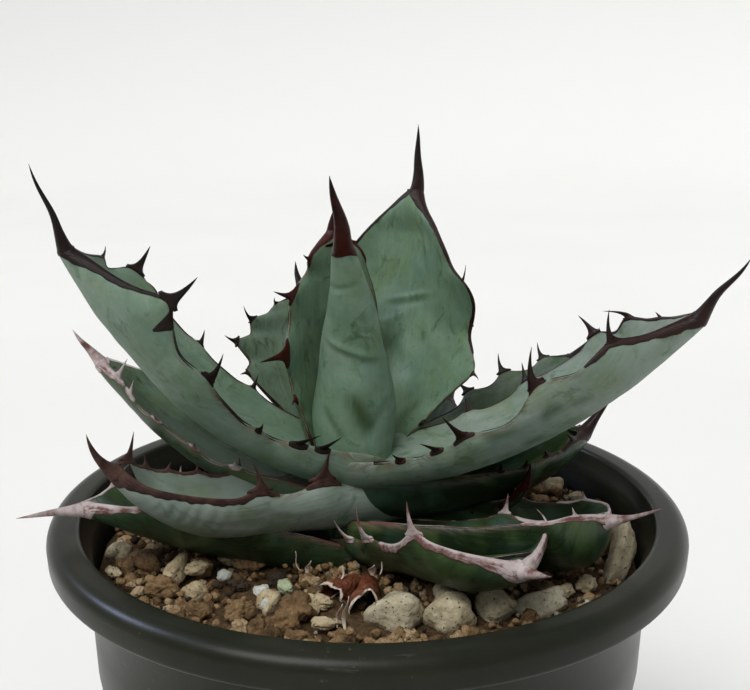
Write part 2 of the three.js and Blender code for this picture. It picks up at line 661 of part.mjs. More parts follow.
// The soil fills the pot's inside, clear of the wall. Its top is level under the leaves and grainy round
// them.
function soilSolid() {
  const sectors = 28;
  const topRadii = [16, 34, 44, 52, 60, 67];
  const wetWall = innerWall.filter(([, z]) => z < SOIL_HEIGHT);
  const wallProfile = wetWall.map(([radius, z]) => [radius - CLEARANCE, z]);
  wallProfile[wallProfile.length - 1][1] += CLEARANCE;
  const rimRadius = wallProfile[0][0];
  const rings = topRadii.map((radius, ring) => ({ radius, z: SOIL_HEIGHT, grain: ring > 1 ? 2.6 : 0 }));
  rings.push({ radius: rimRadius, z: SOIL_HEIGHT - 0.6, grain: 0 });
  rings.push(...wallProfile.map(([radius, z]) => ({ radius, z: Math.min(z, SOIL_HEIGHT - 2), grain: 0 })));
  const points = [];
  rings.forEach(({ radius, z, grain }, ring) => {
    for (let k = 0; k < sectors; k++) {
      const angle = (2 * Math.PI * k) / sectors;
      const height = z + grain * (speckle(ring, k) - 0.3);
      points.push(new THREE.Vector3(radius * Math.cos(angle), radius * Math.sin(angle), height));
    }
  });
  const top = points.push(new THREE.Vector3(0, 0, SOIL_HEIGHT)) - 1;
  const bottom = points.push(new THREE.Vector3(0, 0, wallProfile.at(-1)[1])) - 1;
  const lastRing = (rings.length - 1) * sectors;
  const faces = [];
  for (let k = 0; k < sectors; k++) {
    const next = (k + 1) % sectors;
    faces.push([top, k, next], [bottom, lastRing + next, lastRing + k]);
    for (let a = k, b = next; a < lastRing; a += sectors, b += sectors) {
      faces.push([a, a + sectors, b + sectors], [a, b + sectors, b]);
    }
  }
  return solidFrom(points, faces);
}

function stoneSolid(stone, number, growth) {
  const geometry = new THREE.IcosahedronGeometry(1, 1);
  const position = geometry.getAttribute("position");
  const point = new THREE.Vector3();
  for (let i = 0; i < position.count; i++) {
    point.fromBufferAttribute(position, i);
    const longDent = 0.13 * Math.sin(3.1 * point.x + number);
    const crossDent = 0.11 * Math.cos(4.3 * point.y + 2 * point.z + number);
    point.multiplyScalar(0.92 * (1 + longDent + crossDent));
    point.set(
      point.x * (stone.half[0] + growth),
      point.y * (stone.half[1] + growth),
      point.z * (stone.half[2] + growth),
    );
    position.setXYZ(i, point.x, point.y, point.z);
  }
  geometry.rotateY(radians(stone.lean)).rotateZ(radians(stone.turn)).translate(...stone.at);
  return solidFromGeometry(geometry);
}

// Assembly

const group = new THREE.Group();

function addPiece(name, solid, colour, roughness) {
  const mesh = solid.getMesh();
  const geometry = new THREE.BufferGeometry();
  geometry.setAttribute("position", new THREE.BufferAttribute(new Float32Array(mesh.vertProperties), 3));
  geometry.setIndex(Array.from(mesh.triVerts));
  const material = new THREE.MeshStandardMaterial({ color: colour, roughness, metalness: 0 });
  const piece = new THREE.Mesh(geometry, material);
  piece.name = name;
  group.add(piece);
}

addPiece("pot", potSolid(), COLOURS.pot, 0.45);

const obstacles = [obstacleFrom(stemSolid(CLEARANCE))];
addPiece("stem_and_heart", stemSolid(0), COLOURS.stem, 0.6);

for (const leaf of LEAVES) {
  const blade = cutClear(bladeSolid(leaf, 0), obstacles);
  const border = cutClear(borderSolid(leaf, 0), obstacles);
  addPiece(`${leaf.name}_blade`, blade, leaf.old ? COLOURS.oldLeaf : COLOURS.youngLeaf, 0.5);
  addPiece(`${leaf.name}_border`, border, leaf.old ? COLOURS.oldBorder : COLOURS.border, 0.55);
  obstacles.push(obstacleFrom(bladeSolid(leaf, CLEARANCE)), obstacleFrom(borderSolid(leaf, CLEARANCE)));
}

for (const leaf of WITHERED_LEAVES) {
  addPiece(leaf.name, cutClear(bladeSolid(leaf, 0), obstacles), COLOURS.witheredLeaf, 0.8);
  obstacles.push(obstacleFrom(bladeSolid(leaf, CLEARANCE)));
}

STONES.forEach((stone, i) => {
  const name = `pumice_${String(i + 1).padStart(2, "0")}`;
  addPiece(name, cutClear(stoneSolid(stone, i, 0), obstacles), COLOURS.pumice, 0.95);
  obstacles.push(obstacleFrom(stoneSolid(stone, i, CLEARANCE)));
});

addPiece("soil", cutClear(soilSolid(), obstacles), COLOURS.soil, 1);

export default group;
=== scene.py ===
# A hybrid agave in a round dark plastic pot. Tables and lengths are in millimetres, like the plant's CAD
# source, and every mesh is made in metres. The origin is the centre of the pot's underside, +Z up.
import math
import random

import bmesh
import bpy
import numpy as np
from mathutils import Matrix, Vector, kdtree, noise


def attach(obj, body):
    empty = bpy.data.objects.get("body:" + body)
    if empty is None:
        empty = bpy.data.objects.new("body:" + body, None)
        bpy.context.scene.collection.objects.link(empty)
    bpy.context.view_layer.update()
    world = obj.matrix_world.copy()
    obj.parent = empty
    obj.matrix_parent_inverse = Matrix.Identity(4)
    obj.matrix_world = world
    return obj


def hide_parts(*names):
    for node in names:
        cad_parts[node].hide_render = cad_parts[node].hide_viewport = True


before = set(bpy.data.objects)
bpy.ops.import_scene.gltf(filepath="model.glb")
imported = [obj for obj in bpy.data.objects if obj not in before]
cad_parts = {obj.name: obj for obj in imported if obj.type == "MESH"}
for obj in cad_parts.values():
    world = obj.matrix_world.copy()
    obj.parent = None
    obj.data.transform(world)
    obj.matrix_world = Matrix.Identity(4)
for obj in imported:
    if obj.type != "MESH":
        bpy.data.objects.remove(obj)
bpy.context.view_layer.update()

MM = 0.001

# Driving dimensions, as in the part's own source
POT_HEIGHT = 140
RIM_RADIUS = 90
RIM_BAND = 9
MOUTH_RADIUS = 80.5
BODY_RADIUS = 79.2
SHOULDER_RADIUS = 76.8
SHOULDER_HEIGHT = 88
FOOT_RADIUS = 58
WALL = 2.2
FLOOR = 2.8
SOIL_HEIGHT = 126
HEART = np.array([-3.0, 0.0, 0.0])
STEM_RADIUS = 9
STEM_BOTTOM = 112
STEM_TOP = 149
BUD_RADIUS = 4.4
BUD_TOP = 178
LEAF_START = 5

# Dimensions of the scene alone: how round the rim's outer edge is, how far out loose grains lie, where the
# finely meshed soil in front ends, and the backdrop's floor and wall
RIM_LIP = 4.2
GRAIN_LIMIT = 76.2
FRONT_SOIL = -24
FLOOR_RADIUS = 2000
WALL_RADIUS = 3000

# The photographer's camera, worked out from the rim's ellipses
CAMERA_AT = (2.0, -297.7, 262.8)
CAMERA_DOWN = 14.5
CAMERA_LENS = 52.8
SENSOR_WIDTH = 36

# What a leaf's rows in the table below stand for, with angles in degrees. midrib: heading, rise and roll go
# from base to tip, and bend is above 1 where the rise comes late. plate: cup goes from the base to the
# widest place to the tip, and sag is the share of the cup's height by which the middle hangs down. look:
# horn is the kind of margin, tone 0 is an old dark leaf and 1 full pale bloom, grey 0 is fresh green and 1
# grey green, band is the width of the horny margin, line a thin horny edge before it, and horn_from where
# the band begins, left and right.
# The darkest tones, on the low leaves in front and to the right, are partly the old leaves' own dark green
# and partly painted shade for the shade they lie in under the leaves above.
MIDRIB = ("heading", "rise", "bend", "length", "base", "roll")
PLATE = ("half_width", "widest", "spine_from", "taper", "cup", "depth", "spine_radius", "sag")
LOOK = ("horn", "tone", "grey", "band", "line", "horn_from")

# What holds for a leaf unless its row says otherwise. lobe is how much the flesh swells under the teeth,
# and behind is how far the base runs on round the heart. flare is how broadly a tooth meets the margin,
# low_flare that near the base, and foot how far its horn spreads. cap is how far the spine's horn runs down
# the leaf's end, slim how much the spine's middle narrows, and arch how far it bows up. grid is rows and
# columns.
USUAL = dict(
    old=False, lobe=0.3, behind=5, wrinkle=0.06, flare=1, foot=0.04, cap=1.2, slim=0.1, arch=0, grid=(96, 32),
    notches=(), feet=(), creases=(), rubs=(),
)


def leaf_row(name, midrib, plate, look, teeth, **more):
    """One leaf of the table, with every value under its own name."""
    leaf = dict(USUAL, name=name, teeth=teeth, **more)
    leaf.update(zip(MIDRIB + PLATE + LOOK, midrib + plate + look))
    return leaf


# Side 1 is on the left of the midrib and -1 on the right, and places run along the leaf from 0 to 1. A
# tooth is a side, a place, its reach outward, its sweep toward the tip and its lift. A notch is a side, a
# place, a depth and a half length, and swells where the depth is below 0. A foot, a tongue of horn on the
# underside, is a side, a place, a depth and a spread. A crease or rub is a face, 1 above or -1 below, a
# place, a share across, a direction from the midrib, a length, a width, and a depth or strength. A rub
# darkens the skin where its bloom is worn off, and the rubs on leaf_03_right_back are painted shade.
LEAVES = [
    leaf_row(
        "leaf_01_front",
        midrib=((262, 256), (92, 50), 1.3, 92, 149.5, (12, 4)),
        plate=((12.2, 15.2), 0.18, 0.74, 1.2, (79, 78, 80), 4.4, 3, 0),
        look=("red", 0.86, 0.1, 0.3, 0, (0.66, 0.66)),
        lobe=0.1, grid=(144, 46),
        teeth=[(1, 0.37, 2.2, -1.8, 0.3), (1, 0.12, 3.5, 1, 2), (-1, 0.16, 3, 0.5, 2)],
        notches=[(1, 0.42, 1.9, 24), (-1, 0.42, 1.3, 24), (1, 0.16, 0.8, 9)],
        creases=[
            (-1, 0.41, 0.02, -60, 12, 1, 0.5), (-1, 0.385, 0.02, -60, 11, 1.2, -0.4),
            (-1, 0.52, 0.42, -8, 14, 1.2, 0.5), (-1, 0.18, -0.28, -29, 12, 0.9, -0.6),
            (-1, 0.2, -0.36, -29, 12, 0.9, 0.35), (-1, 0.17, 0.3, 25, 11, 1, -0.5),
            (-1, 0.62, -0.2, 70, 8, 0.9, -0.35), (-1, 0.3, -0.3, 5, 16, 2.4, -0.5),
        ],
        rubs=[(-1, 0.215, 0.08, -17, 12, 1.9, 1), (-1, 0.18, -0.3, -29, 9, 0.8, 0.7)],
    ),
    leaf_row(
        "leaf_02_back",
        midrib=((117, 117), (73, 96), 1, 77, 149, (-2, 0)),
        plate=((13.4, 20.4), 0.45, 0.88, 2, (46, 39, 28), 6, 2.2, 0),
        look=("red", 0.62, 0.1, 0.8, 0.1, (0.7, 0.7)),
        lobe=0.34,
        teeth=[
            (1, 0.8, 3.4, 1.6, 0.3), (1, 0.67, 7, 2.2, -1.6), (1, 0.46, 9.5, -0.6, -2.8),
            (1, 0.28, 3.4, -1, 0.5), (-1, 0.84, 1.6, 0.8, 0.4),
        ],
        notches=[
            (1, 0.735, 2.2, 3), (1, 0.56, 0.8, 4), (1, 0.81, -2.4, 3.4), (-1, 0.43, 8, 25),
            (-1, 0.8, -1.6, 4),
        ],
    ),
    leaf_row(
        "leaf_03_right_back",
        midrib=((67, 55), (52, 90), 1.1, 104.5, 148, (11, -21)),
        plate=((10, 27.5), 0.36, 0.81, 2.3, (50, 12, 70), 6, 2.4, 0),
        look=("brown", 0.7, 0.1, 1.1, 0.14, (0.5, 0.3)),
        lobe=0.36, grid=(144, 46), flare=0.7,
        teeth=[
            (-1, 0.56, 2.2, 4.2, 1), (-1, 0.44, 1.2, -0.3, 0.8), (-1, 0.3, 2.4, -1.6, 0),
            (-1, 0.14, 3, -1, 1.4), (1, 0.55, 5, 1.5, 0.5), (1, 0.4, 6, 0, 0.5),
        ],
        notches=[
            (-1, 0.76, 2.2, 5), (-1, 0.525, -4.6, 6), (-1, 0.6, 1.6, 3.5), (-1, 0.42, 2.2, 4.5),
            (-1, 0.3, -2.4, 5),
        ],
        creases=[
            (1, 0.56, 0.21, -3, 15, 0.8, -0.6), (1, 0.56, 0.27, -3, 14, 0.9, 0.45),
            (1, 0.67, -0.34, 0, 17, 0.9, -0.55), (1, 0.67, -0.43, 0, 16, 1, 0.4),
            (1, 0.56, -0.24, -8, 11, 0.7, 0.7), (1, 0.508, -0.12, -76, 13, 0.7, 0.55),
            (1, 0.49, -0.12, -76, 13, 0.9, -0.4), (1, 0.44, 0.05, -60, 9, 0.8, 0.4),
            (1, 0.33, -0.03, 47, 14, 3, -1.1), (1, 0.4, -0.5, 20, 16, 2.5, 0.6),
            (1, 0.3, 0.4, -12, 22, 2.6, -0.7),
        ],
        # These rubs are painted shade: they darken the lower part of this leaf where it lies in shadow.
        rubs=[
            (1, 0.31, 0.12, 4, 20, 4.2, 0.75), (1, 0.22, 0.3, 14, 14, 3, 0.55),
            (1, 0.16, -0.5, -25, 14, 2.2, 0.6),
        ],
    ),
    leaf_row(
        "leaf_04_back_left",
        midrib=((110, 114), (38.5, 53.5), 1, 73.5, 147.5, (-1, -3)),
        plate=((13.3, 27), 0.57, 0.84, 1.8, (50, 25, 30), 6.5, 2, 0),
        look=("dark", 0.55, 0.8, 0.5, 0, (0.75, 0.75)),
        lobe=0.5,
        teeth=[
            (1, 0.79, 2.6, 0.4, 2.4), (1, 0.71, 4.4, 2.6, 2.6), (1, 0.6, 4.6, 1.1, 0.8),
            (1, 0.45, 3, -0.9, 0), (-1, 0.72, 4, 1.5, 1), (-1, 0.52, 5, 0.5, 1),
        ],
        notches=[(1, 0.655, 3.4, 2.4), (1, 0.53, 3.2, 3), (1, 0.75, 1.8, 1.6), (-1, 0.62, 3, 3.4)],
    ),
    leaf_row(
        "leaf_05_left_tall",
        midrib=((193, 217), (13, 74), 0.8, 122, 153.5, (-17, 0)),
        plate=((8.6, 25.5), 0.66, 0.81, 1.3, (42, 52, 40), 6.6, 2.3, 0),
        look=("dark", 0.8, 0.4, 1.5, 0, (0.62, 0.62)),
        behind=23, cap=-0.6, arch=2.4, slim=0.32, flare=0.7, low_flare=0.3, grid=(150, 46),
        teeth=[
            (-1, 0.72, 3.6, 1.3, -0.5), (-1, 0.63, 8.6, 1.6, 0.8), (-1, 0.4, 4, 1, 0.5),
            (-1, 0.24, 4, 0, 0.5), (1, 0.66, 9.2, 2.1, 1.8), (1, 0.45, 7.2, 3, 2.5),
            (1, 0.25, 3.6, 1.1, 0.4), (1, 0.14, 7, -2.6, 2), (1, 0.08, 6, -2.6, 3),
        ],
        notches=[(-1, 0.68, 2.6, 3.4), (-1, 0.57, -1.8, 4), (1, 0.545, 1.3, 5), (1, -0.03, -7, 15)],
        feet=[(1, 0.62, 6, 1.6)],
        creases=[
            (-1, 0.56, 0.86, 55, 9, 0.9, -0.5), (-1, 0.54, 0.8, 20, 12, 1.1, 0.4),
            (-1, 0.7, 0.8, 75, 7, 1.2, -0.4), (-1, 0.74, 0.72, 80, 7, 1, -0.4),
        ],
    ),
    leaf_row(
        "leaf_06_right_tall",
        midrib=((-22, -36), (10.5, 57.5), 1, 122.5, 152.5, (9, 1)),
        plate=((11, 21.7), 0.64, 0.84, 1.3, (30, 66, 53), 6.4, 2.4, 0),
        look=("brown", 0.86, 0.85, 1.3, 0.12, (0.55, 0.6)),
        behind=20, cap=0, arch=2.2, slim=0.2, flare=0.75, low_flare=0.35, grid=(150, 46),
        teeth=[
            (1, 0.58, 6.4, -1.4, 0.8), (1, 0.68, 5, -4.6, 1.8), (1, 0.75, 2, -0.3, 0),
            (1, 0.38, 5, 0.5, 0.8), (1, 0.22, 4, -0.5, 1), (-1, 0.72, 6, 4.8, 2), (-1, 0.53, 7.6, 5, 3.2),
            (-1, 0.3, 8.6, -0.5, 2), (-1, 0.22, 6, -1.4, 0.3), (-1, 0.12, 4.6, 0, 0.8),
        ],
        notches=[(-1, 0.63, 1.6, 5), (1, 0.63, 1.4, 3), (-1, 0.42, 1, 6), (-1, -0.03, -4, 14)],
        creases=[(-1, 0.7, -0.8, 78, 6, 1, -0.4), (-1, 0.66, -0.75, 75, 7, 1.1, -0.35)],
        rubs=[
            (-1, 0.524, -0.71, 10, 7, 1.4, 0.8), (-1, 0.436, -0.55, 15, 6, 1.3, 0.7),
            (-1, 0.585, -0.64, 5, 6, 1.1, 0.5), (-1, 0.79, -0.8, 40, 4, 1.2, 0.5),
            (-1, 0.39, -0.93, 5, 10, 0.9, 0.6), (-1, 0.31, -0.8, 0, 8, 1, 0.4),
        ],
    ),
    leaf_row(
        "leaf_07_right_back_low",
        midrib=((32, 32), (3, 40.5), 1, 95, 144.5, (-2, -2)),
        plate=((13, 15.8), 0.48, 0.85, 1.9, (65, 32, 52), 7.6, 2.2, 0),
        look=("dark", 0.34, 0.5, 0.4, 0, (0.75, 0.75)),
        lobe=0.5,
        teeth=[
            (1, 0.52, 5.2, -0.4, 0), (1, 0.66, 5.4, 3, 1.4), (1, 0.79, 4.6, 2.4, 0.8),
            (-1, 0.34, 4.5, 0, 0.5), (-1, 0.5, 5, 0.5, 0.5), (-1, 0.66, 5, 1.5, 0.8),
        ],
    ),
    leaf_row(
        "leaf_08_left_low",
        midrib=((164.5, 166), (12.5, 48.5), 1.3, 96.5, 140, (-5, -5.5)),
        plate=((13.1, 16.9), 0.39, 0.86, 2, (63, 38, 55), 6.3, 2.2, 0),
        look=("grey", 0.4, 0.6, 0.7, 0.1, (0.68, 0.66)),
        behind=8,
        teeth=[
            (1, 0.78, 7.4, 0.4, 4), (1, 0.71, 6, 0.8, 2.4), (1, 0.59, 4.6, 1.4, 0.2),
            (1, 0.44, 4, -0.5, 0.9), (1, 0.3, 4.4, 0, 0.9), (-1, 0.7, 5, 1, 1), (-1, 0.52, 5, 0, 1),
        ],
    ),
    leaf_row(
        "leaf_09_right_low",
        midrib=((12.5, 18), (-8.5, 64), 1.7, 84.7, 143, (-5.5, 2.5)),
        plate=((13.2, 18.7), 0.5, 0.81, 1.8, (68, 57, 54), 7.4, 2.2, 0),
        look=("brown", 0, 0.1, 0.4, 0.1, (0.6, 0.5)),
        behind=9,
        teeth=[
            (-1, 0.74, 5, -1, 0.8), (-1, 0.6, 3.8, -0.7, 0), (-1, 0.5, 3.4, 0.2, -0.5), (-1, 0.4, 3.2, 0, 0),
            (1, 0.66, 5, 1, 0.8), (1, 0.48, 5, 0, 0.8),
        ],
    ),
    leaf_row(
        "leaf_10_left_front",
        midrib=((211, 203.5), (6.5, 73), 3.7, 80, 145.5, (8, 1)),
        plate=((11.4, 17.1), 0.5, 0.83, 2.4, (75, 75, 38), 6.6, 2.4, 0.76),
        look=("rose", 1.05, 0.7, 1.1, 0.2, (0.26, 0.3)),
        behind=22, wrinkle=0.12, flare=1.5, foot=0.12, grid=(150, 46),
        teeth=[
            (1, 0.39, 6.8, 2.6, 1.6), (1, 0.14, 8.4, -1, 0.4), (-1, 0.79, 8.2, 1.1, 0.8),
            (-1, 0.7, 3.6, 1.2, -0.4), (-1, 0.61, 2.4, -0.6, 0), (-1, 0.5, 2.6, 0.3, 0),
            (-1, 0.34, 4, 0, 0.5),
        ],
        creases=[
            (-1, 0.735, 0.78, 84, 8, 0.9, -0.6), (-1, 0.7, 0.8, 97, 9, 0.8, -0.5),
            (-1, 0.665, 0.84, 82, 10, 0.9, -0.6), (-1, 0.62, 0.82, 95, 9, 0.8, -0.5),
            (-1, 0.585, 0.84, 86, 11, 0.9, -0.6), (-1, 0.535, 0.86, 92, 9, 0.9, -0.45),
            (-1, 0.49, 0.84, 84, 8, 1, -0.4), (-1, 0.3, 0.68, 8, 24, 1.1, -0.5),
            (-1, 0.22, 0.8, 12, 22, 1.2, -0.4), (-1, 0.4, 0.6, 4, 22, 1.4, -0.5),
        ],
    ),
    leaf_row(
        "leaf_11_front_right",
        midrib=((-51, -61), (13.5, 12.7), 1, 78, 130.5, (0.5, -7)),
        plate=((11.8, 23), 0.66, 0.86, 1.8, (26, 66, 66), 6, 2, 0.42),
        look=("grey", 0.14, 0, 1.6, 0.2, (0.5, 0.3)),
        old=True, behind=9,
        teeth=[
            (-1, 0.61, 8, 0.5, 1.8), (-1, 0.27, 7.6, 0.7, 5), (-1, 0.12, 6, -0.3, 3.2),
            (1, 0.7, 2.8, -2.4, 2.2), (1, 0.5, 5, 0, 1),
        ],
    ),
    leaf_row(
        "leaf_12_left_lowest",
        midrib=((195.5, 203.5), (22, -10), 2.3, 92.4, 127.6, (2.5, 12)),
        plate=((15.5, 20.4), 0.49, 0.81, 2.1, (63, 57, 51), 6.4, 2.2, 0.76),
        look=("grey", 0.2, 0.2, 1.2, 0.15, (0.55, 0.55)),
        old=True,
        teeth=[
            (-1, 0.71, 4.6, 0, 0.4), (-1, 0.5, 4.6, 0, 0.5), (1, 0.66, 2.2, 0, -0.4),
            (1, 0.56, 2.2, 0, -0.4),
        ],
    ),
    leaf_row(
        "leaf_14_right_lowest",
        midrib=((18, -56), (5, 84), 2.2, 59, 128, (0, 0)),
        plate=((7, 5.2), 0.4, 0.88, 1.8, (50, 49, 43), 2.6, 1.2, 0.6),
        look=("red", 0.06, 0.1, 0.4, 0, (0.6, 0.6)),
        old=True,
        teeth=[(-1, 0.55, 2.4, 0.5, 0.5), (1, 0.6, 2.8, 0.5, 0.5), (1, 0.4, 3, 0, 0.5)],
    ),
    leaf_row(
        "leaf_13_right_front",
        midrib=((-24, -32), (4.7, 22), 1.5, 84, 137, (-1.5, -14)),
        plate=((14.3, 22), 0.7, 0.82, 2.8, (57, 75, 75), 6.4, 2.2, 0.84),
        look=("grey", -0.02, 0, 0.7, 0.1, (0.5, 0.55)),
        old=True, cap=-1.5, slim=0.35,
        teeth=[(1, 0.68, 2.4, -0.5, 0), (-1, 0.78, 2.4, 0, -0.2), (1, 0.45, 4.5, 0, 0.6)],
    ),
    leaf_row(
        "leaf_15_back_right_low",
        midrib=((62, 64), (4, 32), 1.2, 74, 137, (0, 0)),
        plate=((12, 15.5), 0.5, 0.83, 1.9, (60, 42, 50), 6.4, 2, 0),
        look=("brown", 0.25, 0.3, 0.8, 0.1, (0.6, 0.6)),
        old=True,
        teeth=[(1, 0.7, 4, 1, 0.6), (1, 0.5, 4, 0, 0.6), (-1, 0.68, 4, 1, 0.6), (-1, 0.48, 4, 0, 0.6)],
    ),
    leaf_row(
        "leaf_16_back_low",
        midrib=((96, 92), (4, 36), 1.2, 88, 136, (0, 0)),
        plate=((12.5, 16.5), 0.5, 0.84, 1.9, (60, 44, 52), 6.6, 2.1, 0),
        look=("dark", 0.4, 0.3, 0.8, 0, (0.6, 0.6)),
        teeth=[
            (1, 0.74, 5, 1, 0.8), (1, 0.58, 5, 0, 0.8), (1, 0.42, 4.5, 0, 0.8), (-1, 0.72, 5, 1, 0.8),
            (-1, 0.55, 5, 0, 0.8), (-1, 0.4, 4.5, 0, 0.8),
        ],
    ),
    leaf_row(
        "leaf_17_back_left_low",
        midrib=((138, 142), (3, 30), 1.2, 86, 132, (0, 0)),
        plate=((12.5, 16.5), 0.5, 0.84, 1.9, (60, 44, 52), 6.4, 2.1, 0),
        look=("brown", 0.28, 0.3, 0.8, 0.1, (0.6, 0.6)),
        old=True,
        teeth=[
            (1, 0.72, 4.6, 1, 0.6), (1, 0.54, 4.6, 0, 0.6), (1, 0.38, 4, 0, 0.6), (-1, 0.7, 4.6, 1, 0.6),
            (-1, 0.52, 4.6, 0, 0.6),
        ],
    ),
]

# Dried leaf ends, rolled into tunnels: the middle of the mouth, its heading, radius, height as a share of
# that, and length. Then the white slivers of skin on each: place, heading and rise, length and width.
WITHERED_LEAVES = {
    "withered_leaf_front": (
        ((-0.4, -46.5, 127.6), 268, 4.8, 1.25, 17),
        [
            ((1.3, -32.5, 131.5), 80, 70, 5, 2.2), ((3.2, -32, 131.5), 50, 30, 5, 0.4),
            ((-5.2, -54.3, 127.6), 112, 45, 10, 1.2), ((-7.3, -53.4, 127.8), 92, 62, 9, 0.6),
        ],
    ),
    "withered_leaf_left": (
        ((-9.8, -38.5, 128.2), 236, 4.2, 0.95, 12),
        [
            ((-16.2, -25, 128.6), 110, 60, 4.5, 1.6), ((-18.2, -24, 128.8), 150, 25, 6, 0.35),
            ((-7, -33.5, 131), 30, 30, 4, 0.9),
        ],
    ),
}

# Single stones that stand out in the soil: centre, half sizes and turn in degrees
PEBBLES = dict(
    clay=[
        ((-17.7, -44.9, 129), (4.3, 4.2, 3.8), 0), ((-20.6, -51.5, 128.6), (3.3, 3, 2.9), 0),
        ((-33.2, -18.4, 129), (3.5, 3, 3), 0), ((-46, -22, 129), (3.2, 3.2, 2.9), 0),
        ((-54, -34, 128.8), (3.6, 3.2, 3), 0), ((-32.5, -47.5, 128.8), (3.6, 3.1, 3), 30),
        ((54, 36, 128.4), (2.8, 2.4, 2.2), 0), ((36, 25, 128.4), (2.8, 2.4, 2.2), 0),
    ],
    cream=[
        ((-11.8, -42.4, 129), (3, 2, 1.9), -30), ((-10.3, -52.2, 128.4), (3.4, 1.7, 1.6), 0),
        ((-69, -23.5, 128.2), (1.5, 3, 1.3), 35), ((-38.7, -16.5, 128.6), (2.7, 2, 1.9), 5),
        ((51.6, -35.2, 128.6), (2.8, 2.2, 2), 20), ((57.8, -31.4, 128.6), (3.3, 2.3, 2.1), 35),
        ((47.6, 38.5, 128.6), (2.4, 2.2, 2.2), 0), ((41, 33, 128.4), (2.6, 2, 2), 30),
        ((66, 28, 128.4), (2.8, 2.4, 2), 10), ((-46, -26.5, 130.8), (2.9, 2.3, 1.9), 30),
        ((34.6, -45.6, 130.2), (2.6, 2.2, 2.3), 10),
    ],
    perlite=[
        ((-38.4, -28.1, 129.4), (1.9, 1.8, 1.8), 0), ((-27.4, -36.9, 129.2), (1.9, 2.6, 1.8), 20),
        ((-25.2, -42.4, 129), (1.8, 2.9, 1.8), -25),
    ],
    green=[((-21.6, -33.9, 129), (2, 3, 1.9), 15)],
    dark=[
        ((-34, -31.5, 128.4), (2.9, 2.2, 2), 10), ((-44, -18.5, 128.2), (2.7, 2.5, 2), 0),
        ((-24.3, -28, 128), (2.4, 3, 2), 0),
    ],
)

# How crumbly the single stones of each kind are, and how pale
PEBBLE_LOOKS = dict(clay=(0.36, 0.62), cream=(0.3, 0.85), perlite=(0.2, 0.75), green=(0.26, 0.6),
                    dark=(0.34, 0.34))

# Pumice lumps: centre, half sizes, turn about the vertical and lean in degrees, and how stained they are
STONES = [
    ((6.6, -48.4, 128.8), (7.4, 6.2, 6), 8, 4, 0.45),
    ((20.6, -49.2, 128.8), (7.4, 6, 6), -12, -6, 0.6),
    ((19.9, -42, 130.8), (3.6, 3.2, 3.2), 20, 0, 0.5),
    ((32.6, -44.2, 128.8), (5.2, 4.8, 5), 35, 8, 0.4),
    ((45, -41.4, 127.8), (7.8, 4.6, 4), 30, -6, 0.2),
    ((69.5, -18, 130.5), (9.4, 4.2, 4.4), 62, -38, 0.6),
    ((-52.3, -26.5, 128.8), (7, 3.2, 3.4), 74, -15, 0.9),
    ((-45.5, -34.6, 127.8), (4, 2.6, 2.8), -8, 0, 1),
    ((-25, -41, 128), (5.8, 2.9, 3.2), 76, 0, 0.95),
    ((-14.4, -43, 128), (3.8, 2.7, 2.9), -40, 0, 0.9),
    ((-70.5, -9.5, 127.6), (4.2, 3.6, 3.4), 80, 0, 0.5),
    ((59.5, 39.5, 127.8), (4.4, 3.4, 3.4), 20, 10, 0.7),
]

# Loose grains: kind of stone, spacing, least and greatest size, layers as a height and the share kept, how
# crumbly and how finely meshed they are, and from which y to which they lie
GRAINS = {
    "clay_front": ("clay", 5.3, (1.9, 3.6), [(-0.6, 0.97), (2.1, 0.25)], 0.36, 4, (-RIM_RADIUS, FRONT_SOIL)),
    "clay_back": ("clay", 5.6, (2.2, 3.8), [(-0.6, 0.95), (2.2, 0.28)], 0.36, 2, (FRONT_SOIL, RIM_RADIUS)),
    "clay_crumbs": ("clay", 3.1, (0.7, 1.6), [(1.2, 0.5), (2.6, 0.2)], 0.4, 2, (-RIM_RADIUS, RIM_RADIUS)),
    "grit_grains": ("dark", 4.6, (0.5, 1.3), [(1.6, 0.3), (2.8, 0.2)], 0.4, 2, (-RIM_RADIUS, RIM_RADIUS)),
}


def lerp(a, b, t):
    return a + (b - a) * t


def smoothstep(x, low, high):
    t = np.clip((np.asarray(x, float) - low) / (high - low), 0, 1)
    return t * t * (3 - 2 * t)


def direction(heading, rise):
    level = np.cos(rise)
    return np.stack([level * np.cos(heading), level * np.sin(heading), np.sin(rise)], -1)


def level_left(heading):
    """The level way to the left of a heading."""
    return np.stack([-np.sin(heading), np.cos(heading), 0 * heading], -1)


# Leaf form


def midrib_directions(leaf, places):
    places = np.clip(places, 0, 1)
    heading = np.radians(lerp(*leaf["heading"], places))
    return direction(heading, np.radians(lerp(*leaf["rise"], places ** leaf["bend"])))


def midrib_points(leaf, places):
    steps = 240
    middles = (np.arange(steps) + 0.5) / steps
    walk = midrib_directions(leaf, middles) * leaf["length"] / steps
    path = np.vstack([np.zeros(3), np.cumsum(walk, axis=0)])
    path += HEART + LEAF_START * direction(math.radians(leaf["heading"][0]), 0) + (0, 0, leaf["base"])
    marks = np.linspace(0, 1, steps + 1)
    points = np.stack([np.interp(places, marks, path[:, k]) for k in range(3)], -1)
    before = np.minimum(places, 0)[:, None] * leaf["length"]
    return points + before * midrib_directions(leaf, np.zeros(1))


def spine_radii(leaf, places):
    left = np.clip((1 - places) / (1 - leaf["spine_from"]), 0, 1)
    return leaf["spine_radius"] * left ** 0.85


def half_widths(leaf, places):
    at_base, at_widest = leaf["half_width"]
    widening = lerp(at_base, at_widest, smoothstep(places, 0, leaf["widest"]))
    past = np.clip((places - leaf["widest"]) / (leaf["spine_from"] - leaf["widest"]), 0, 1)
    narrowing = lerp(at_widest, leaf["spine_radius"], past ** leaf["taper"])
    width = np.where(places <= leaf["widest"], widening, narrowing)
    return np.where(places >= leaf["spine_from"], spine_radii(leaf, places), width)


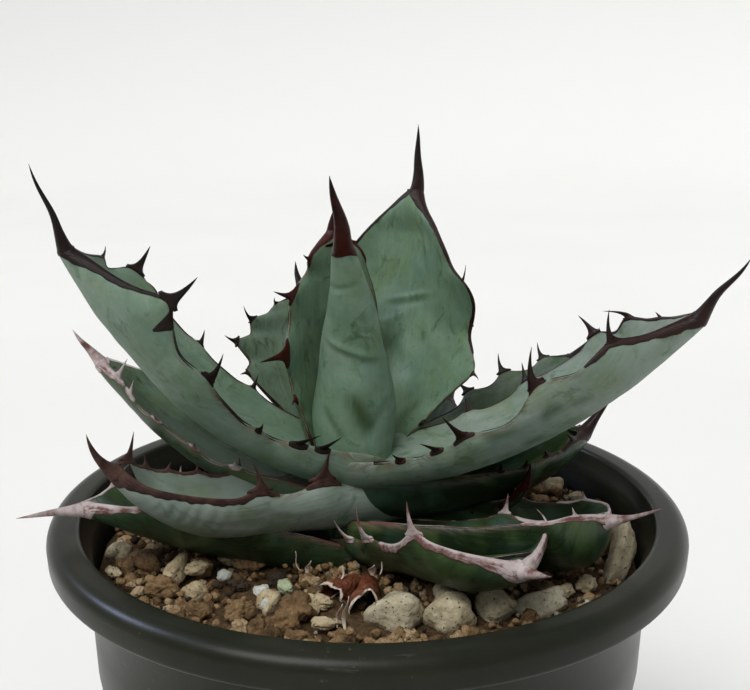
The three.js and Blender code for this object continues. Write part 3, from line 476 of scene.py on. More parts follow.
def cups(leaf, places):
    at_base, at_widest, at_tip = leaf["cup"]
    to_widest = lerp(at_base, at_widest, smoothstep(places, 0, leaf["widest"]))
    to_tip = lerp(at_widest, at_tip, smoothstep(places, leaf["widest"], 1))
    return np.radians(np.where(places < leaf["widest"], to_widest, to_tip))


def sections(leaf, places):
    """The cupped sections of a leaf at some places along it: centres, axes, half widths and curls."""
    places = np.asarray(places, float)
    along = midrib_directions(leaf, places)
    level = level_left(np.radians(lerp(*leaf["heading"], np.maximum(places, 0))))
    roll = np.radians(lerp(*leaf["roll"], places))[:, None]
    across = level * np.cos(roll) + np.cross(along, level) * np.sin(roll)
    up = np.cross(along, across)
    half = half_widths(leaf, places)
    cup = cups(leaf, places)
    curl_height = half * (1 - np.cos(cup)) / cup
    centre = midrib_points(leaf, places) - (leaf["sag"] * curl_height)[:, None] * up
    return dict(places=places, along=along, across=across, up=up, half=half, cup=cup, centre=centre)


def across_section(section, distance):
    """Points at distances across each section, with the ways outward and up from the surface there."""
    half = section["half"][:, None]
    radius = half / section["cup"][:, None]
    within = np.clip(distance, -half, half)
    angle = (within / radius)[..., None]
    beyond = (np.abs(distance) - np.abs(within))[..., None]
    across = section["across"][:, None, :]
    up = section["up"][:, None, :]
    to_left = across * np.cos(angle) + up * np.sin(angle)
    normal = up * np.cos(angle) - across * np.sin(angle)
    outward = to_left * np.where(distance < 0, -1, 1)[..., None]
    curl = radius[..., None]
    point = section["centre"][:, None, :] + across * curl * np.sin(angle) + up * curl * (1 - np.cos(angle))
    return point + outward * beyond, outward, normal


def before_spine(leaf, places, start):
    """1 as far as start, falling to 0 where the spine begins."""
    return smoothstep(-places, -leaf["spine_from"], -start)


def hump(leaf, places, middle, half_length):
    """1 at the middle, falling softly to 0 before and after it."""
    away = (places - middle) * leaf["length"] / half_length
    return np.exp(-away * away)


def rows_for(side, rows):
    """What follows the side, or the face, in the rows that are for it."""
    return [row[1:] for row in rows if row[0] == side]


def lobes(leaf, side, places):
    """How far the fleshy margin swells under its teeth and draws in between them."""
    height = np.zeros_like(places)
    drawn_in = 0
    for place, reach, _sweep, _lift in rows_for(side, leaf["teeth"]):
        height += leaf["lobe"] * reach * hump(leaf, places, place, 2.3 + 0.3 * reach)
        drawn_in = max(drawn_in, 0.3 * leaf["lobe"] * reach)
    for place, deep, half_length in rows_for(side, leaf["notches"]):
        height -= deep * hump(leaf, places, place, half_length)
    return height - drawn_in * smoothstep(places, 0.15, 0.3) * before_spine(leaf, places, 0.75)


def reaches(leaf, side, section):
    """How far the margin lies from the midrib, with a rounded end behind the heart."""
    behind = np.clip(-section["places"] * leaf["length"] / (leaf["behind"] + 0.4), 0, 1)
    return (section["half"] + lobes(leaf, side, section["places"])) * (1 - behind ** 3) ** 0.5


def waves(leaf, side, section):
    """The margin's rise and fall: up at its teeth and down between them."""
    places = section["places"]
    swell = lobes(leaf, side, places)
    slow = np.sin(places * leaf["length"] * 0.21 + leaf["base"] + 2 * side) * 0.5
    return (0.35 * swell + slow * smoothstep(places, 0.2, 0.4)) * before_spine(leaf, places, 0.7)


def by_side(measure, leaf, section, share):
    """Reaches or waves of the margin that lies on the same side as each share across."""
    left = measure(leaf, 1, section)[:, None]
    right = measure(leaf, -1, section)[:, None]
    return np.where(share < 0, right, left)


def skin(leaf, section, share, face, lift):
    """Points on a leaf's skin. share runs from -1 to 1 across it, face is 1 for the hollow upper side and -1
    for the fleshy underside, and lift raises the points off the skin."""
    places = section["places"]
    spine_from = leaf["spine_from"]
    share = np.broadcast_to(share, (len(places), np.shape(share)[-1]))
    point, _outward, normal = across_section(section, share * by_side(reaches, leaf, section, share))
    inside = np.clip(1 - share * share, 0, 1)
    half_edge = 0.8
    edge = half_edge * np.sqrt(np.clip(1 - share ** 8, 0, 1))
    if face > 0:
        filled_end = 13 / leaf["length"]
        filled = 0.45 * min(leaf["cup"][2] / 70, 1) * smoothstep(places, spine_from - filled_end, spine_from)
        body = (filled * section["half"])[:, None] * inside
    else:
        thinned = 0.72 * smoothstep(places, 0, spine_from)
        body = leaf["depth"] * (1 - thinned)[:, None] * inside ** 0.7
    wave = by_side(waves, leaf, section, share)
    return point + normal * (face * (edge + body + lift) + wave * np.abs(share) ** 3)[..., None]


def margin(leaf, side, section, beyond=0.0):
    """Points on a margin, with the ways outward and up there."""
    edge = (reaches(leaf, side, section) + beyond)[:, None] * side
    point, outward, normal = across_section(section, edge)
    point = point + normal * waves(leaf, side, section)[:, None, None]
    return point[:, 0], outward[:, 0], normal[:, 0]


# Meshes


def turn_outward(mesh):
    work = bmesh.new()
    work.from_mesh(mesh)
    bmesh.ops.recalc_face_normals(work, faces=work.faces)
    work.to_mesh(mesh)
    work.free()


def add_object(name, points, faces, material):
    """An object with a smooth mesh in metres, from points in millimetres."""
    mesh = bpy.data.meshes.new(name)
    mesh.from_pydata((np.asarray(points) * MM).tolist(), [], faces)
    mesh.polygons.foreach_set("use_smooth", [True] * len(mesh.polygons))
    mesh.materials.append(material)
    piece = bpy.data.objects.new(name, mesh)
    bpy.context.scene.collection.objects.link(piece)
    return piece


def around_axis(profile, segments, centre=(0, 0)):
    """Points of a body of revolution, ring by ring, from a profile of radius and height."""
    turns = 2 * math.pi * np.arange(segments) / segments
    ring = np.stack([np.cos(turns), np.sin(turns), 0 * turns], -1)
    return np.concatenate([radius * ring + (centre[0], centre[1], z) for radius, z in profile])


def tube_faces(rings, count):
    """Faces of a closed tube of rings, with a cap at each end."""
    faces = []
    for start in range(0, (rings - 1) * count, count):
        for k in range(count):
            a = start + k
            b = start + (k + 1) % count
            faces.append((a, b, b + count, a + count))
    faces.append(tuple(range(count))[::-1])
    faces.append(tuple(range((rings - 1) * count, rings * count)))
    return faces


class Parts:
    """Collects closed shells into one piece, with a number at each point for each value a material reads."""

    def __init__(self):
        self.points = []
        self.faces = []
        self.values = {}
        self.total = 0

    def add(self, points, faces, **values):
        """Adds a closed shell. Each value is one number or an array that spreads over the points."""
        points = np.asarray(points, float)
        for key, value in values.items():
            spread = np.broadcast_to(np.asarray(value, float), points.shape[:-1])
            self.values.setdefault(key, []).append(spread.ravel())
        self.faces.extend(tuple(index + self.total for index in face) for face in faces)
        self.points.append(points.reshape(-1, 3))
        self.total += len(self.points[-1])

    def piece(self, name, material, slot, *nodes):
        """The finished piece, which rides on the body and stands for the CAD nodes that are named."""
        piece = add_object(name, np.concatenate(self.points), self.faces, material)
        for key, spreads in self.values.items():
            layer = piece.data.attributes.new(key, "FLOAT", "POINT")
            layer.data.foreach_set("value", np.concatenate(spreads).astype(np.float32))
        piece.data.update()
        turn_outward(piece.data)
        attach(piece, "root")
        if nodes:
            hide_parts(*nodes)
        return piece


# Leaves


def soft_noise(points, scale, seed):
    """Smooth noise at each of the points, which are in millimetres."""
    flat = points.reshape(-1, 3) * scale + seed
    return np.array([noise.noise(Vector(point)) for point in flat]).reshape(points.shape[:-1])


def mark_shapes(leaf, marks, section, share, face):
    """The sum of a leaf's long soft marks, its creases or rubs (worn patches, and painted shade), on one
    face.
    """
    reach = by_side(reaches, leaf, section, share)
    total = np.zeros(reach.shape)
    for place, across, turn, length, width, depth in rows_for(face, marks):
        ahead = (section["places"] - place)[:, None] * leaf["length"]
        aside = (share - across) * reach
        turn = math.radians(turn)
        long_way = ahead * math.cos(turn) + aside * math.sin(turn)
        short_way = aside * math.cos(turn) - ahead * math.sin(turn)
        total += depth * np.exp(-(long_way / (0.5 * length)) ** 4 - (short_way / width) ** 2)
    return total


def leaf_relief(leaf, section, share, face):
    """Soft unevenness of the flesh, in millimetres: broad swells, small dents and the creases of the bud."""
    places = section["places"]
    points = skin(leaf, section, share, face, 0)
    seed = leaf["base"] + 20 * face
    relief = 0.75 * soft_noise(points, 0.05, seed) + 0.2 * soft_noise(points, 0.16, seed)
    relief += leaf["wrinkle"] * soft_noise(points * (1, 1, 0.4), 0.5, seed)
    relief += mark_shapes(leaf, leaf["creases"], section, share, face)
    relief *= np.clip(1 - share ** 4, 0, 1)
    return relief * (smoothstep(places, 0.02, 0.2) * before_spine(leaf, places, 0.62))[:, None]


def make_blade(leaf, material):
    """The flesh of a leaf, closed from its base behind the heart to just under its spine."""
    rows, columns = leaf["grid"]
    length = leaf["length"]
    places = np.linspace(-leaf["behind"] / length, leaf["spine_from"] - 0.2 / length, rows)
    section = sections(leaf, places)
    over = np.sin(np.linspace(-math.pi / 2, math.pi / 2, columns + 1))
    under = over[1:-1][::-1]
    skins = []
    rubs = []
    for share, face in ((over, 1), (under, -1)):
        skins.append(skin(leaf, section, share, face, leaf_relief(leaf, section, share, face)))
        rubs.append(mark_shapes(leaf, leaf["rubs"], section, share, face))
    around = np.concatenate([over, under])
    reach = by_side(reaches, leaf, section, around)
    parts = Parts()
    parts.add(
        np.concatenate(skins, axis=1),
        tube_faces(rows, len(around)),
        lengthwise=places[:, None] * length,
        crosswise=around * reach,
        edge=(1 - np.abs(around)) * reach,
        tone=leaf["tone"],
        grey=leaf["grey"],
        seed=leaf["base"] + length,
        nearness=places[:, None],
        rub=np.concatenate(rubs, axis=1),
    )
    slot = "old_leaf" if leaf["old"] else "leaf"
    return parts.piece(leaf["name"] + "_flesh", material, slot, leaf["name"] + "_blade")


def horn_widths(leaf, side, section):
    """How far the horny margin reaches in over the upper side and over the underside, in millimetres."""
    places = section["places"]
    length = leaf["length"]
    start = leaf["horn_from"][0 if side > 0 else 1]
    to_tip = 1 + 0.7 * smoothstep(places, leaf["spine_from"] - 9 / length, leaf["spine_from"])
    ragged = 1 + 0.16 * np.sin(places * length * 0.9 + leaf["base"]) + 0.1 * np.sin(places * length * 2.3)
    band = leaf["band"] * smoothstep(places, start, start + 0.14) * to_tip * ragged
    line = leaf["line"] * smoothstep(places, 0.12, 0.2) * ragged
    upper = np.maximum(band * 0.7, line)
    lower = np.maximum(band, line)
    for place, reach, _sweep, _lift in rows_for(side, leaf["teeth"]):
        away = np.abs(places - place) * length / (0.42 * reach + 1.0)
        foot = (0.22 + leaf["foot"] * reach) * np.exp(-away ** 1.7)
        upper = np.maximum(upper, foot)
        lower = np.maximum(lower, foot * 1.25)
    for place, deep, spread in rows_for(side, leaf["feet"]):
        lower = np.maximum(lower, deep * hump(leaf, places, place, spread))
    return upper, lower


def horn_band(parts, leaf, side):
    """A thin horny skin wrapped round one margin, which sinks into the flesh where it has no width."""
    rows = 140
    places = np.linspace(0.05, leaf["spine_from"] + 0.6 / leaf["length"], rows)
    section = sections(leaf, places)
    reach = reaches(leaf, side, section)[:, None]
    upper, lower = horn_widths(leaf, side, section)
    shown = smoothstep(np.maximum(upper, lower), 0.05, 0.5)[:, None]
    toward_edge = np.array([0, 0.1, 0.32, 0.62, 0.88])
    bulge = np.array([-0.8, 0.5, 0.9, 1.0, 1.0])
    thick = 0.16 + 0.05 * min(leaf["band"], 2.0)
    lift = thick * bulge * shown - 0.5 * (1 - shown)
    faces = []
    for width, face in ((upper, 1), (lower, -1)):
        share = side * (1 - np.minimum(width[:, None] / reach, 1) * (1 - toward_edge))
        faces.append(skin(leaf, section, share, face, lift))
    rim = margin(leaf, side, section, (thick * 1.3 * shown - 0.6 * (1 - shown))[:, 0])[0][:, None]
    inner = np.concatenate([1 - toward_edge, [0], (1 - toward_edge)[::-1]])
    parts.add(
        np.concatenate([faces[0], rim, faces[1][:, ::-1]], axis=1),
        tube_faces(rows, len(inner)),
        lengthwise=places[:, None] * leaf["length"],
        inner=inner,
        under=np.arange(len(inner)) > len(toward_edge),
        tip=0,
    )


def unit(vector):
    return vector / np.linalg.norm(vector)


def horn_tooth(parts, leaf, tooth):
    """A curved claw that flares into the margin."""
    side, place, reach, sweep, lift = tooth
    step = 0.6 / leaf["length"]
    near = sections(leaf, [place - step, place, place + step])
    points, outwards, normals = margin(leaf, side, near)
    tangent = unit(points[2] - points[0])
    along = near["along"][1]
    broad = lerp(leaf.get("low_flare", leaf["flare"]), leaf["flare"], smoothstep(place, 0.25, 0.5))
    steps = np.concatenate([[-0.12, -0.05], np.linspace(0, 1, 16) ** 1.25])
    grown = np.maximum(steps, 0)
    out = reach * np.where(steps < 0, steps, 0.35 * grown + 0.65 * grown ** 1.3)
    leaning = along * sweep + normals[1] * lift
    centres = points[1] + out[:, None] * outwards[1] + (grown ** 2)[:, None] * leaning
    sides = 10
    turns = 2 * math.pi * np.arange(sides)[:, None] / sides
    rings = []
    for i, t in enumerate(grown):
        ahead = unit(centres[min(i + 1, len(centres) - 1)] - centres[max(i - 1, 0)])
        sideways = unit(tangent - ahead * (tangent @ ahead) * smoothstep(t, 0, 0.3))
        face = unit(np.cross(sideways, ahead))
        flare = math.exp(-t / 0.15)
        wide = (0.2 + 0.11 * reach) * (1 - t) ** 0.85 + (0.3 + 0.26 * reach) * broad * flare + 0.04
        thick = (0.26 + 0.032 * reach) * (1 - t) ** 0.75 + 0.05 * flare + 0.04
        rings.append(centres[i] + sideways * wide * np.cos(turns) + face * thick * np.sin(turns))
    parts.add(
        rings,
        tube_faces(len(steps), sides),
        lengthwise=place * leaf["length"],
        inner=0,
        under=0.3,
        tip=grown[:, None],
    )


def horn_spine(parts, leaf):
    """The terminal spine, which grows out of a horny cap over the leaf's end."""
    length = leaf["length"]
    spine_from = leaf["spine_from"]
    rows = 50
    sides = 24
    angles = 2 * math.pi * (np.arange(sides) + 0.5) / sides
    share = np.cos(angles)
    groove = 1 - 0.2 * np.maximum(np.sin(angles), 0) ** 6
    ragged = 2.6 * np.abs(share) ** 3 + 0.35 * np.sin(5 * angles + leaf["base"])
    cap_start = spine_from - (leaf["cap"] + ragged) / length
    even = np.linspace(0, 1, rows)
    steps = even ** 1.35
    wander = np.sin(even * 6 + leaf["base"]) * np.sin(even * math.pi) * 0.55
    bow = np.sin(math.pi * steps)
    arch = leaf["arch"] * bow ** 2 * (1 - steps)
    slim = 1 - leaf["slim"] * bow
    places = lerp(spine_from - 0.8 / length, 1, steps)
    middle = sections(leaf, places)
    radii = np.maximum(spine_radii(leaf, np.maximum(places, spine_from)), 0.07)
    merge = smoothstep(places, spine_from, spine_from + 7 / length)
    rings = []
    for i, step in enumerate(steps):
        around = sections(leaf, np.minimum(lerp(cap_start, 1, step), spine_from))
        lift = 0.22 if i else -0.4
        top, bottom = [skin(leaf, around, share[:, None], face, lift)[:, 0] for face in (1, -1)]
        leaf_ring = np.where((np.sin(angles) > 0)[:, None], top, bottom)
        across = middle["across"][i]
        up = middle["up"][i]
        centre = middle["centre"][i] + wander[i] * across + (arch[i] - 0.4 * radii[i]) * up
        offset = share[:, None] * across + 0.85 * np.sin(angles)[:, None] * up
        round_ring = centre + offset * (radii[i] * slim[i] * groove)[:, None]
        rings.append(lerp(leaf_ring, round_ring, merge[i]))
    parts.add(
        rings,
        tube_faces(rows, sides),
        lengthwise=lerp(spine_from, 1, steps)[:, None] * length,
        inner=0,
        under=0.3,
        tip=steps[:, None],
    )


def make_horn(leaf, material):
    """The horny margins, teeth and spine of a leaf."""
    parts = Parts()
    for side in (1, -1):
        horn_band(parts, leaf, side)
    for tooth in leaf["teeth"]:
        horn_tooth(parts, leaf, tooth)
    horn_spine(parts, leaf)
    slot = "old_border" if leaf["old"] else "border"
    return parts.piece(leaf["name"] + "_horn", material, slot, leaf["name"] + "_border")


def make_withered(name, material):
    """A dried leaf end that has rolled into a low tunnel, with white papery slivers on its torn edges."""
    (mouth, heading, radius, tall, length), slivers = WITHERED_LEAVES[name]
    rows = 44
    columns = 64
    heading = math.radians(heading)
    ahead = direction(heading, 0)
    sideways = level_left(heading)
    turn = np.radians(np.linspace(-35, 235, columns))
    closing = 1 - 0.3 * smoothstep(turn, 2.6, 4.1)
    steps = np.linspace(0, 1, rows)
    shells = np.empty((2, rows, columns, 3))
    for i, t in enumerate(steps):
        for j, angle in enumerate(turn):
            spot = Vector((t * 3.4, angle * 1.3, length))
            fold = 0.9 * noise.noise(spot) + 0.45 * noise.noise(spot * 2.9)
            torn = 2.4 * noise.noise(Vector((angle * 1.7, length, 0)))
            torn += 0.9 * noise.noise(Vector((angle * 7, 0, length)))
            middle = np.array(mouth) - ahead * ((1 - t) * length - torn * t)
            for shell, thick in enumerate((0.0, 0.4)):
                out = lerp(0.5, 1, t) * (radius * closing[j] + fold) - thick
                shells[shell, i, j] = middle + sideways * math.cos(angle) * out
                shells[shell, i, j, 2] += math.sin(angle) * out * tall
    from_side = np.minimum(np.arange(columns), np.arange(columns)[::-1]) * radius * (turn[1] - turn[0])
    from_mouth = (1 - steps)[:, None] * length
    parts = Parts()
    parts.add(
        np.concatenate([shells[0], shells[1, :, ::-1]], axis=1),
        tube_faces(rows, 2 * columns),
        edge=np.minimum(from_mouth, np.tile(from_side, 2)),
        lengthwise=from_mouth,
    )
    for sliver in slivers:
        paper_sliver(parts, *sliver)
    return parts.piece(name + "_skin", material, "withered_leaf", name)


def paper_sliver(parts, at, heading, rise, length, width):
    """A thin pointed strip of dried skin that curls as it rises."""
    rows = 14
    sides = 6
    turns = 2 * math.pi * np.arange(sides)[:, None] / sides
    rings = []
    place = np.array(at, float)
    for t in np.linspace(0, 1, rows):
        turn = math.radians(heading + 60 * t * t)
        along = direction(turn, math.radians(rise + 70 * math.sin(t * 2.6)))
        level = level_left(turn)
        half = 0.5 * width * math.sin(math.pi * (0.12 + 0.88 * t)) ** 0.7 + 0.03
        rings.append(place + level * half * np.cos(turns) + np.cross(along, level) * 0.12 * np.sin(turns))
        place = place + along * length / (rows - 1)
    parts.add(rings, tube_faces(rows, sides), edge=-1, lengthwise=0)


# Pot, stem, soil and stones


def lathe(profile, segments, centre=(0, 0)):
    """Points and faces of a closed body of revolution whose profile starts and ends on the axis."""
    points = around_axis(profile[1:-1], segments, centre)
    faces = tube_faces(len(profile) - 2, segments)[:-2]
    first = len(points)
    last_ring = first - segments
    for k in range(segments):
        after = (k + 1) % segments
        faces.append((first, after, k))
        faces.append((first + 1, last_ring + k, last_ring + after))
    ends = [(centre[0], centre[1], z) for z in (profile[0][1], profile[-1][1])]
    return np.vstack([points, ends]), faces


def arc(centre, radius, start, end, count):
    """Profile points on an arc, with angles in degrees from level outward."""
    angles = np.radians(np.linspace(start, end, count))
    return [(centre[0] + radius * math.cos(a), centre[1] + radius * math.sin(a)) for a in angles]


def make_pot(material):
    band = POT_HEIGHT - RIM_BAND
    neck = SHOULDER_HEIGHT + 10
    outer_round = 1.6
    under_round = 1.4
    profile = [(0, 0), (FOOT_RADIUS - 1, 0)]
    profile += arc((FOOT_RADIUS, outer_round), outer_round, -90, -10, 6)
    for t in (0.05, 0.35, 0.7, 1):
        profile.append((lerp(FOOT_RADIUS + 2, SHOULDER_RADIUS, t), lerp(3, SHOULDER_HEIGHT, t)))
    profile += [(SHOULDER_RADIUS + 1.1, SHOULDER_HEIGHT + 5), (BODY_RADIUS - 0.6, neck)]
    profile += [(BODY_RADIUS - 0.2, neck + 12), (BODY_RADIUS, band - 1.2)]
    profile += [(BODY_RADIUS + 0.9, band), (RIM_RADIUS - 2.2, band)]
    profile += arc((RIM_RADIUS - 1.6, band + under_round), under_round, -90, 0, 6)
    profile += arc((RIM_RADIUS - RIM_LIP, POT_HEIGHT - RIM_LIP), RIM_LIP, 4, 90, 10)
    profile += arc((MOUTH_RADIUS + 2, POT_HEIGHT - outer_round), outer_round, 90, 175, 8)
    profile += [(MOUTH_RADIUS - 1, POT_HEIGHT - 4.5), (MOUTH_RADIUS - 2.2, band + 2)]
    profile += [(BODY_RADIUS - WALL, band - 7), (BODY_RADIUS - 0.6 - WALL, neck)]
    profile += [(SHOULDER_RADIUS - WALL, SHOULDER_HEIGHT), (FOOT_RADIUS - 1, FLOOR), (0, FLOOR)]
    parts = Parts()
    parts.add(*lathe(profile, 160))
    parts.piece("pot_wall", material, "pot", "pot")


def make_stem(material):
    profile = [(0, STEM_BOTTOM), (STEM_RADIUS, STEM_BOTTOM), (STEM_RADIUS, STEM_TOP - 3)]
    profile += arc((STEM_RADIUS - 3, STEM_TOP - 3), 3, 0, 80, 5)
    for t in np.linspace(0, 1, 14)[:-1]:
        profile.append((BUD_RADIUS * (1 - t ** 2.2) ** 0.8, lerp(STEM_TOP, BUD_TOP, t)))
    profile.append((0, BUD_TOP))
    points, faces = lathe(profile, 40, HEART)
    parts = Parts()
    height = points[:, 2] - STEM_BOTTOM
    parts.add(points, faces, lengthwise=height, crosswise=0, edge=9, tone=0.5, grey=0.2, rub=0)
    parts.piece("stem_and_bud", material, "stem", "stem_and_heart")


def sphere_points(subdivisions):
    work = bmesh.new()
    bmesh.ops.create_icosphere(work, subdivisions=subdivisions, radius=1)
    points = np.array([vertex.co[:] for vertex in work.verts])
    faces = [tuple(vertex.index for vertex in face.verts) for face in work.faces]
    work.free()
    return points, faces


def turned(points, degrees, axis="Z"):
    return points @ np.array(Matrix.Rotation(math.radians(degrees), 3, axis)).T


def stone_points(number, half, ball):
    """The lump of the part's source, with finer dents."""
    long_dent = 0.13 * np.sin(3.1 * ball[:, 0] + number)
    cross_dent = 0.11 * np.cos(4.3 * ball[:, 1] + 2 * ball[:, 2] + number)
    points = ball * (0.92 * (1 + long_dent + cross_dent))[:, None]
    shift = Vector((7.3 * number, 1.7, 4.1))
    dents = ((0.12, 0.8), (0.045, 2.7), (0.02, 7))
    for i, spot in enumerate(ball):
        place = Vector(spot) * 1.6 + shift
        rough = sum(share * noise.noise(place * scale) for share, scale in dents)
        cell = noise.voronoi(place * 0.9)[0][0]
        points[i] *= 1.02 + rough + 0.05 * (0.45 - cell)
    return points * half


def make_stones(material):
    """The pumice lumps, each a piece that stands for its own node."""
    ball, faces = sphere_points(5)
    made = []
    for number, (at, half, turn, lean, tone) in enumerate(STONES):
        node = "pumice_%02d" % (number + 1)
        parts = Parts()
        parts.add(turned(turned(stone_points(number, half, ball), lean, "Y"), turn) + at, faces, tone=tone)
        made.append(parts.piece(node + "_lump", material, "pumice", node))
    return made


def grain_shape(rng, ball, rough):
    """One crumbly grain of unit size."""
    shift = np.array([rng.uniform(0, 90) for _ in range(3)])
    swell = np.ones(len(ball))
    for scale, share in ((1.1, 1.4), (2.9, 0.7), (6.5, 0.5), (13.0, 0.22)):
        swell += rough * share * soft_noise(ball, scale, shift)
    stretch = np.array([rng.uniform(0.9, 1.15), rng.uniform(0.85, 1.05), rng.uniform(0.8, 0.95)])
    return ball * swell[:, None] * stretch


def make_pebbles(materials):
    """The single stones, one piece for each kind."""
    ball, faces = sphere_points(4)
    rng = random.Random(3)
    made = []
    for kind, (rough, tone) in PEBBLE_LOOKS.items():
        parts = Parts()
        for at, half, turn in PEBBLES[kind]:
            points = turned(grain_shape(rng, ball, rough) * half, turn) + at
            parts.add(points, faces, tone=tone + rng.uniform(-0.12, 0.12))
        made.append(parts.piece(kind + "_pebbles", materials[kind], "pumice" if kind == "cream" else "soil"))
    return made


def scatter_grains(rng, name, materials, tree):
    """Grains on a loose grid over the soil, left out where a leaf or a stone is in the way."""
    kind, spacing, sizes, layers, rough, subdivisions, (y_from, y_to) = GRAINS[name]
    ball, faces = sphere_points(subdivisions)
    shapes = [grain_shape(rng, ball, rough) for _ in range(24)]
    steps = int(GRAIN_LIMIT / spacing) + 1
    row_gap = 0.87
    jitter = 0.34
    parts = Parts()
    for lift, share in layers:
        for i in range(-steps, steps + 1):
            for j in range(-steps, steps + 1):
                x = (i + 0.5 * (j % 2) + rng.uniform(-jitter, jitter)) * spacing
                y = (j * row_gap + rng.uniform(-jitter, jitter)) * spacing
                size = lerp(*sizes, rng.random() ** 1.6)
                kept = rng.random() < share
                turn = Matrix.Rotation(rng.uniform(0, 6.28), 3, "Z")
                turn = turn @ Matrix.Rotation(rng.uniform(-0.8, 0.8), 3, "X")
                shape = rng.choice(shapes)
                tone = rng.gauss(0.61, 0.17) if kind == "clay" else rng.random() ** 1.7
                z = SOIL_HEIGHT + lift + rng.uniform(-0.8, 0.8)
                on_soil = y_from <= y < y_to and math.hypot(x, y) <= GRAIN_LIMIT - size
                if kept and on_soil and tree.find((x, y, z))[2] >= size * 0.8 + 0.5:
                    parts.add(shape * size @ np.array(turn).T + (x, y, z), faces, tone=tone)
    parts.piece(name, materials[kind], "soil")


def obstacle_tree(pieces):
    points = [vertex.co / MM for piece in pieces for vertex in piece.data.vertices]
    tree = kdtree.KDTree(len(points))
    for i, point in enumerate(points):
        tree.insert(point, i)
    tree.balance()
    return tree


# Materials


class Shader:
    """Builds a material's nodes. Each method returns an output socket."""

    def __init__(self, name, **constants):
        self.material = bpy.data.materials.new(name)
        self.material.use_nodes = True
        self.tree = self.material.node_tree
        self.tree.nodes.clear()
        output = self.tree.nodes.new("ShaderNodeOutputMaterial")
        self.surface = self.tree.nodes.new("ShaderNodeBsdfPrincipled")
        self.tree.links.new(self.surface.outputs[0], output.inputs[0])
        for key, value in constants.items():
            self.surface.inputs[key.replace("_", " ")].default_value = value

    def node(self, kind, inputs, **settings):
        node = self.tree.nodes.new("ShaderNode" + kind)
        for key, value in settings.items():
            setattr(node, key, value)
        for key, value in inputs.items():
            self.feed(node.inputs[key], value)
        return node

    def feed(self, socket, value):
        if isinstance(value, bpy.types.NodeSocket):
            self.tree.links.new(value, socket)
        else:
            socket.default_value = value

    def attribute(self, name):
        return self.node("Attribute", {}, attribute_name=name).outputs["Fac"]

    def place(self):
        return self.node("TexCoord", {}).outputs["Object"]

    def math(self, operation, a, b=0.0, c=0.0, clamp=False):
        return self.node("Math", {0: a, 1: b, 2: c}, operation=operation, use_clamp=clamp).outputs[0]

    def times(self, a, b):
        return self.math("MULTIPLY", a, b)

    def vary(self, value, by, amount):
        """The value, raised where the noise is above its middle and lowered where it is below."""
        return self.math("MULTIPLY_ADD", by, amount, self.math("ADD", value, -amount / 2))

    def noise(self, vector, scale, detail=3.0, rough=0.55, distortion=0.0):
        inputs = dict(Vector=vector, Scale=scale, Detail=detail, Roughness=rough, Distortion=distortion)
        return self.node("TexNoise", inputs).outputs["Fac"]

    def cells(self, vector, scale):
        return self.node("TexVoronoi", {"Vector": vector, "Scale": scale}).outputs["Distance"]

    def spread(self, along, by_along, across, by_across, seed):
        """A vector for noise that is drawn out or packed along a surface and across it."""
        inputs = {0: self.times(along, by_along), 1: self.times(across, by_across), 2: seed}
        return self.node("CombineXYZ", inputs).outputs[0]

    def scaled(self, vector, scale):
        return self.node("VectorMath", {0: vector, 1: scale}, operation="MULTIPLY").outputs[0]

    def length(self, vector):
        return self.node("VectorMath", {0: vector}, operation="LENGTH").outputs["Value"]

    def span(self, value, low, high, to_low=0.0, to_high=1.0):
        inputs = {"Value": value, 1: low, 2: high, 3: to_low, 4: to_high}
        return self.node("MapRange", inputs, clamp=True).outputs[0]

    def ramp(self, value, stops):
        node = self.node("ValToRGB", {0: value})
        elements = node.color_ramp.elements
        while len(elements) < len(stops):
            elements.new(0.5)
        for element, (position, colour) in zip(elements, stops):
            element.position = position
            element.color = (*colour, 1)
        return node.outputs[0]

    def mix(self, factor, a, b, blend="MIX"):
        node = self.node("Mix", {}, data_type="RGBA", blend_type=blend)
        self.feed(node.inputs[0], factor)
        self.feed(node.inputs[6], a)
        self.feed(node.inputs[7], b if isinstance(b, bpy.types.NodeSocket) else (*b, 1))
        return node.outputs[2]

    def bumps(self, *layers):
        """Relief from layers that each have a height, a strength and a distance in metres."""
        normal = None
        for height, strength, distance in layers:
            inputs = {"Height": height, "Strength": strength, "Distance": distance}
            if normal is not None:
                inputs["Normal"] = normal
            normal = self.node("Bump", inputs).outputs[0]
        return normal

    def finish(self, colour, roughness, normal=None):
        self.feed(self.surface.inputs["Base Color"], colour)
        self.feed(self.surface.inputs["Roughness"], roughness)
        if normal is not None:
            self.feed(self.surface.inputs["Normal"], normal)
        return self.material


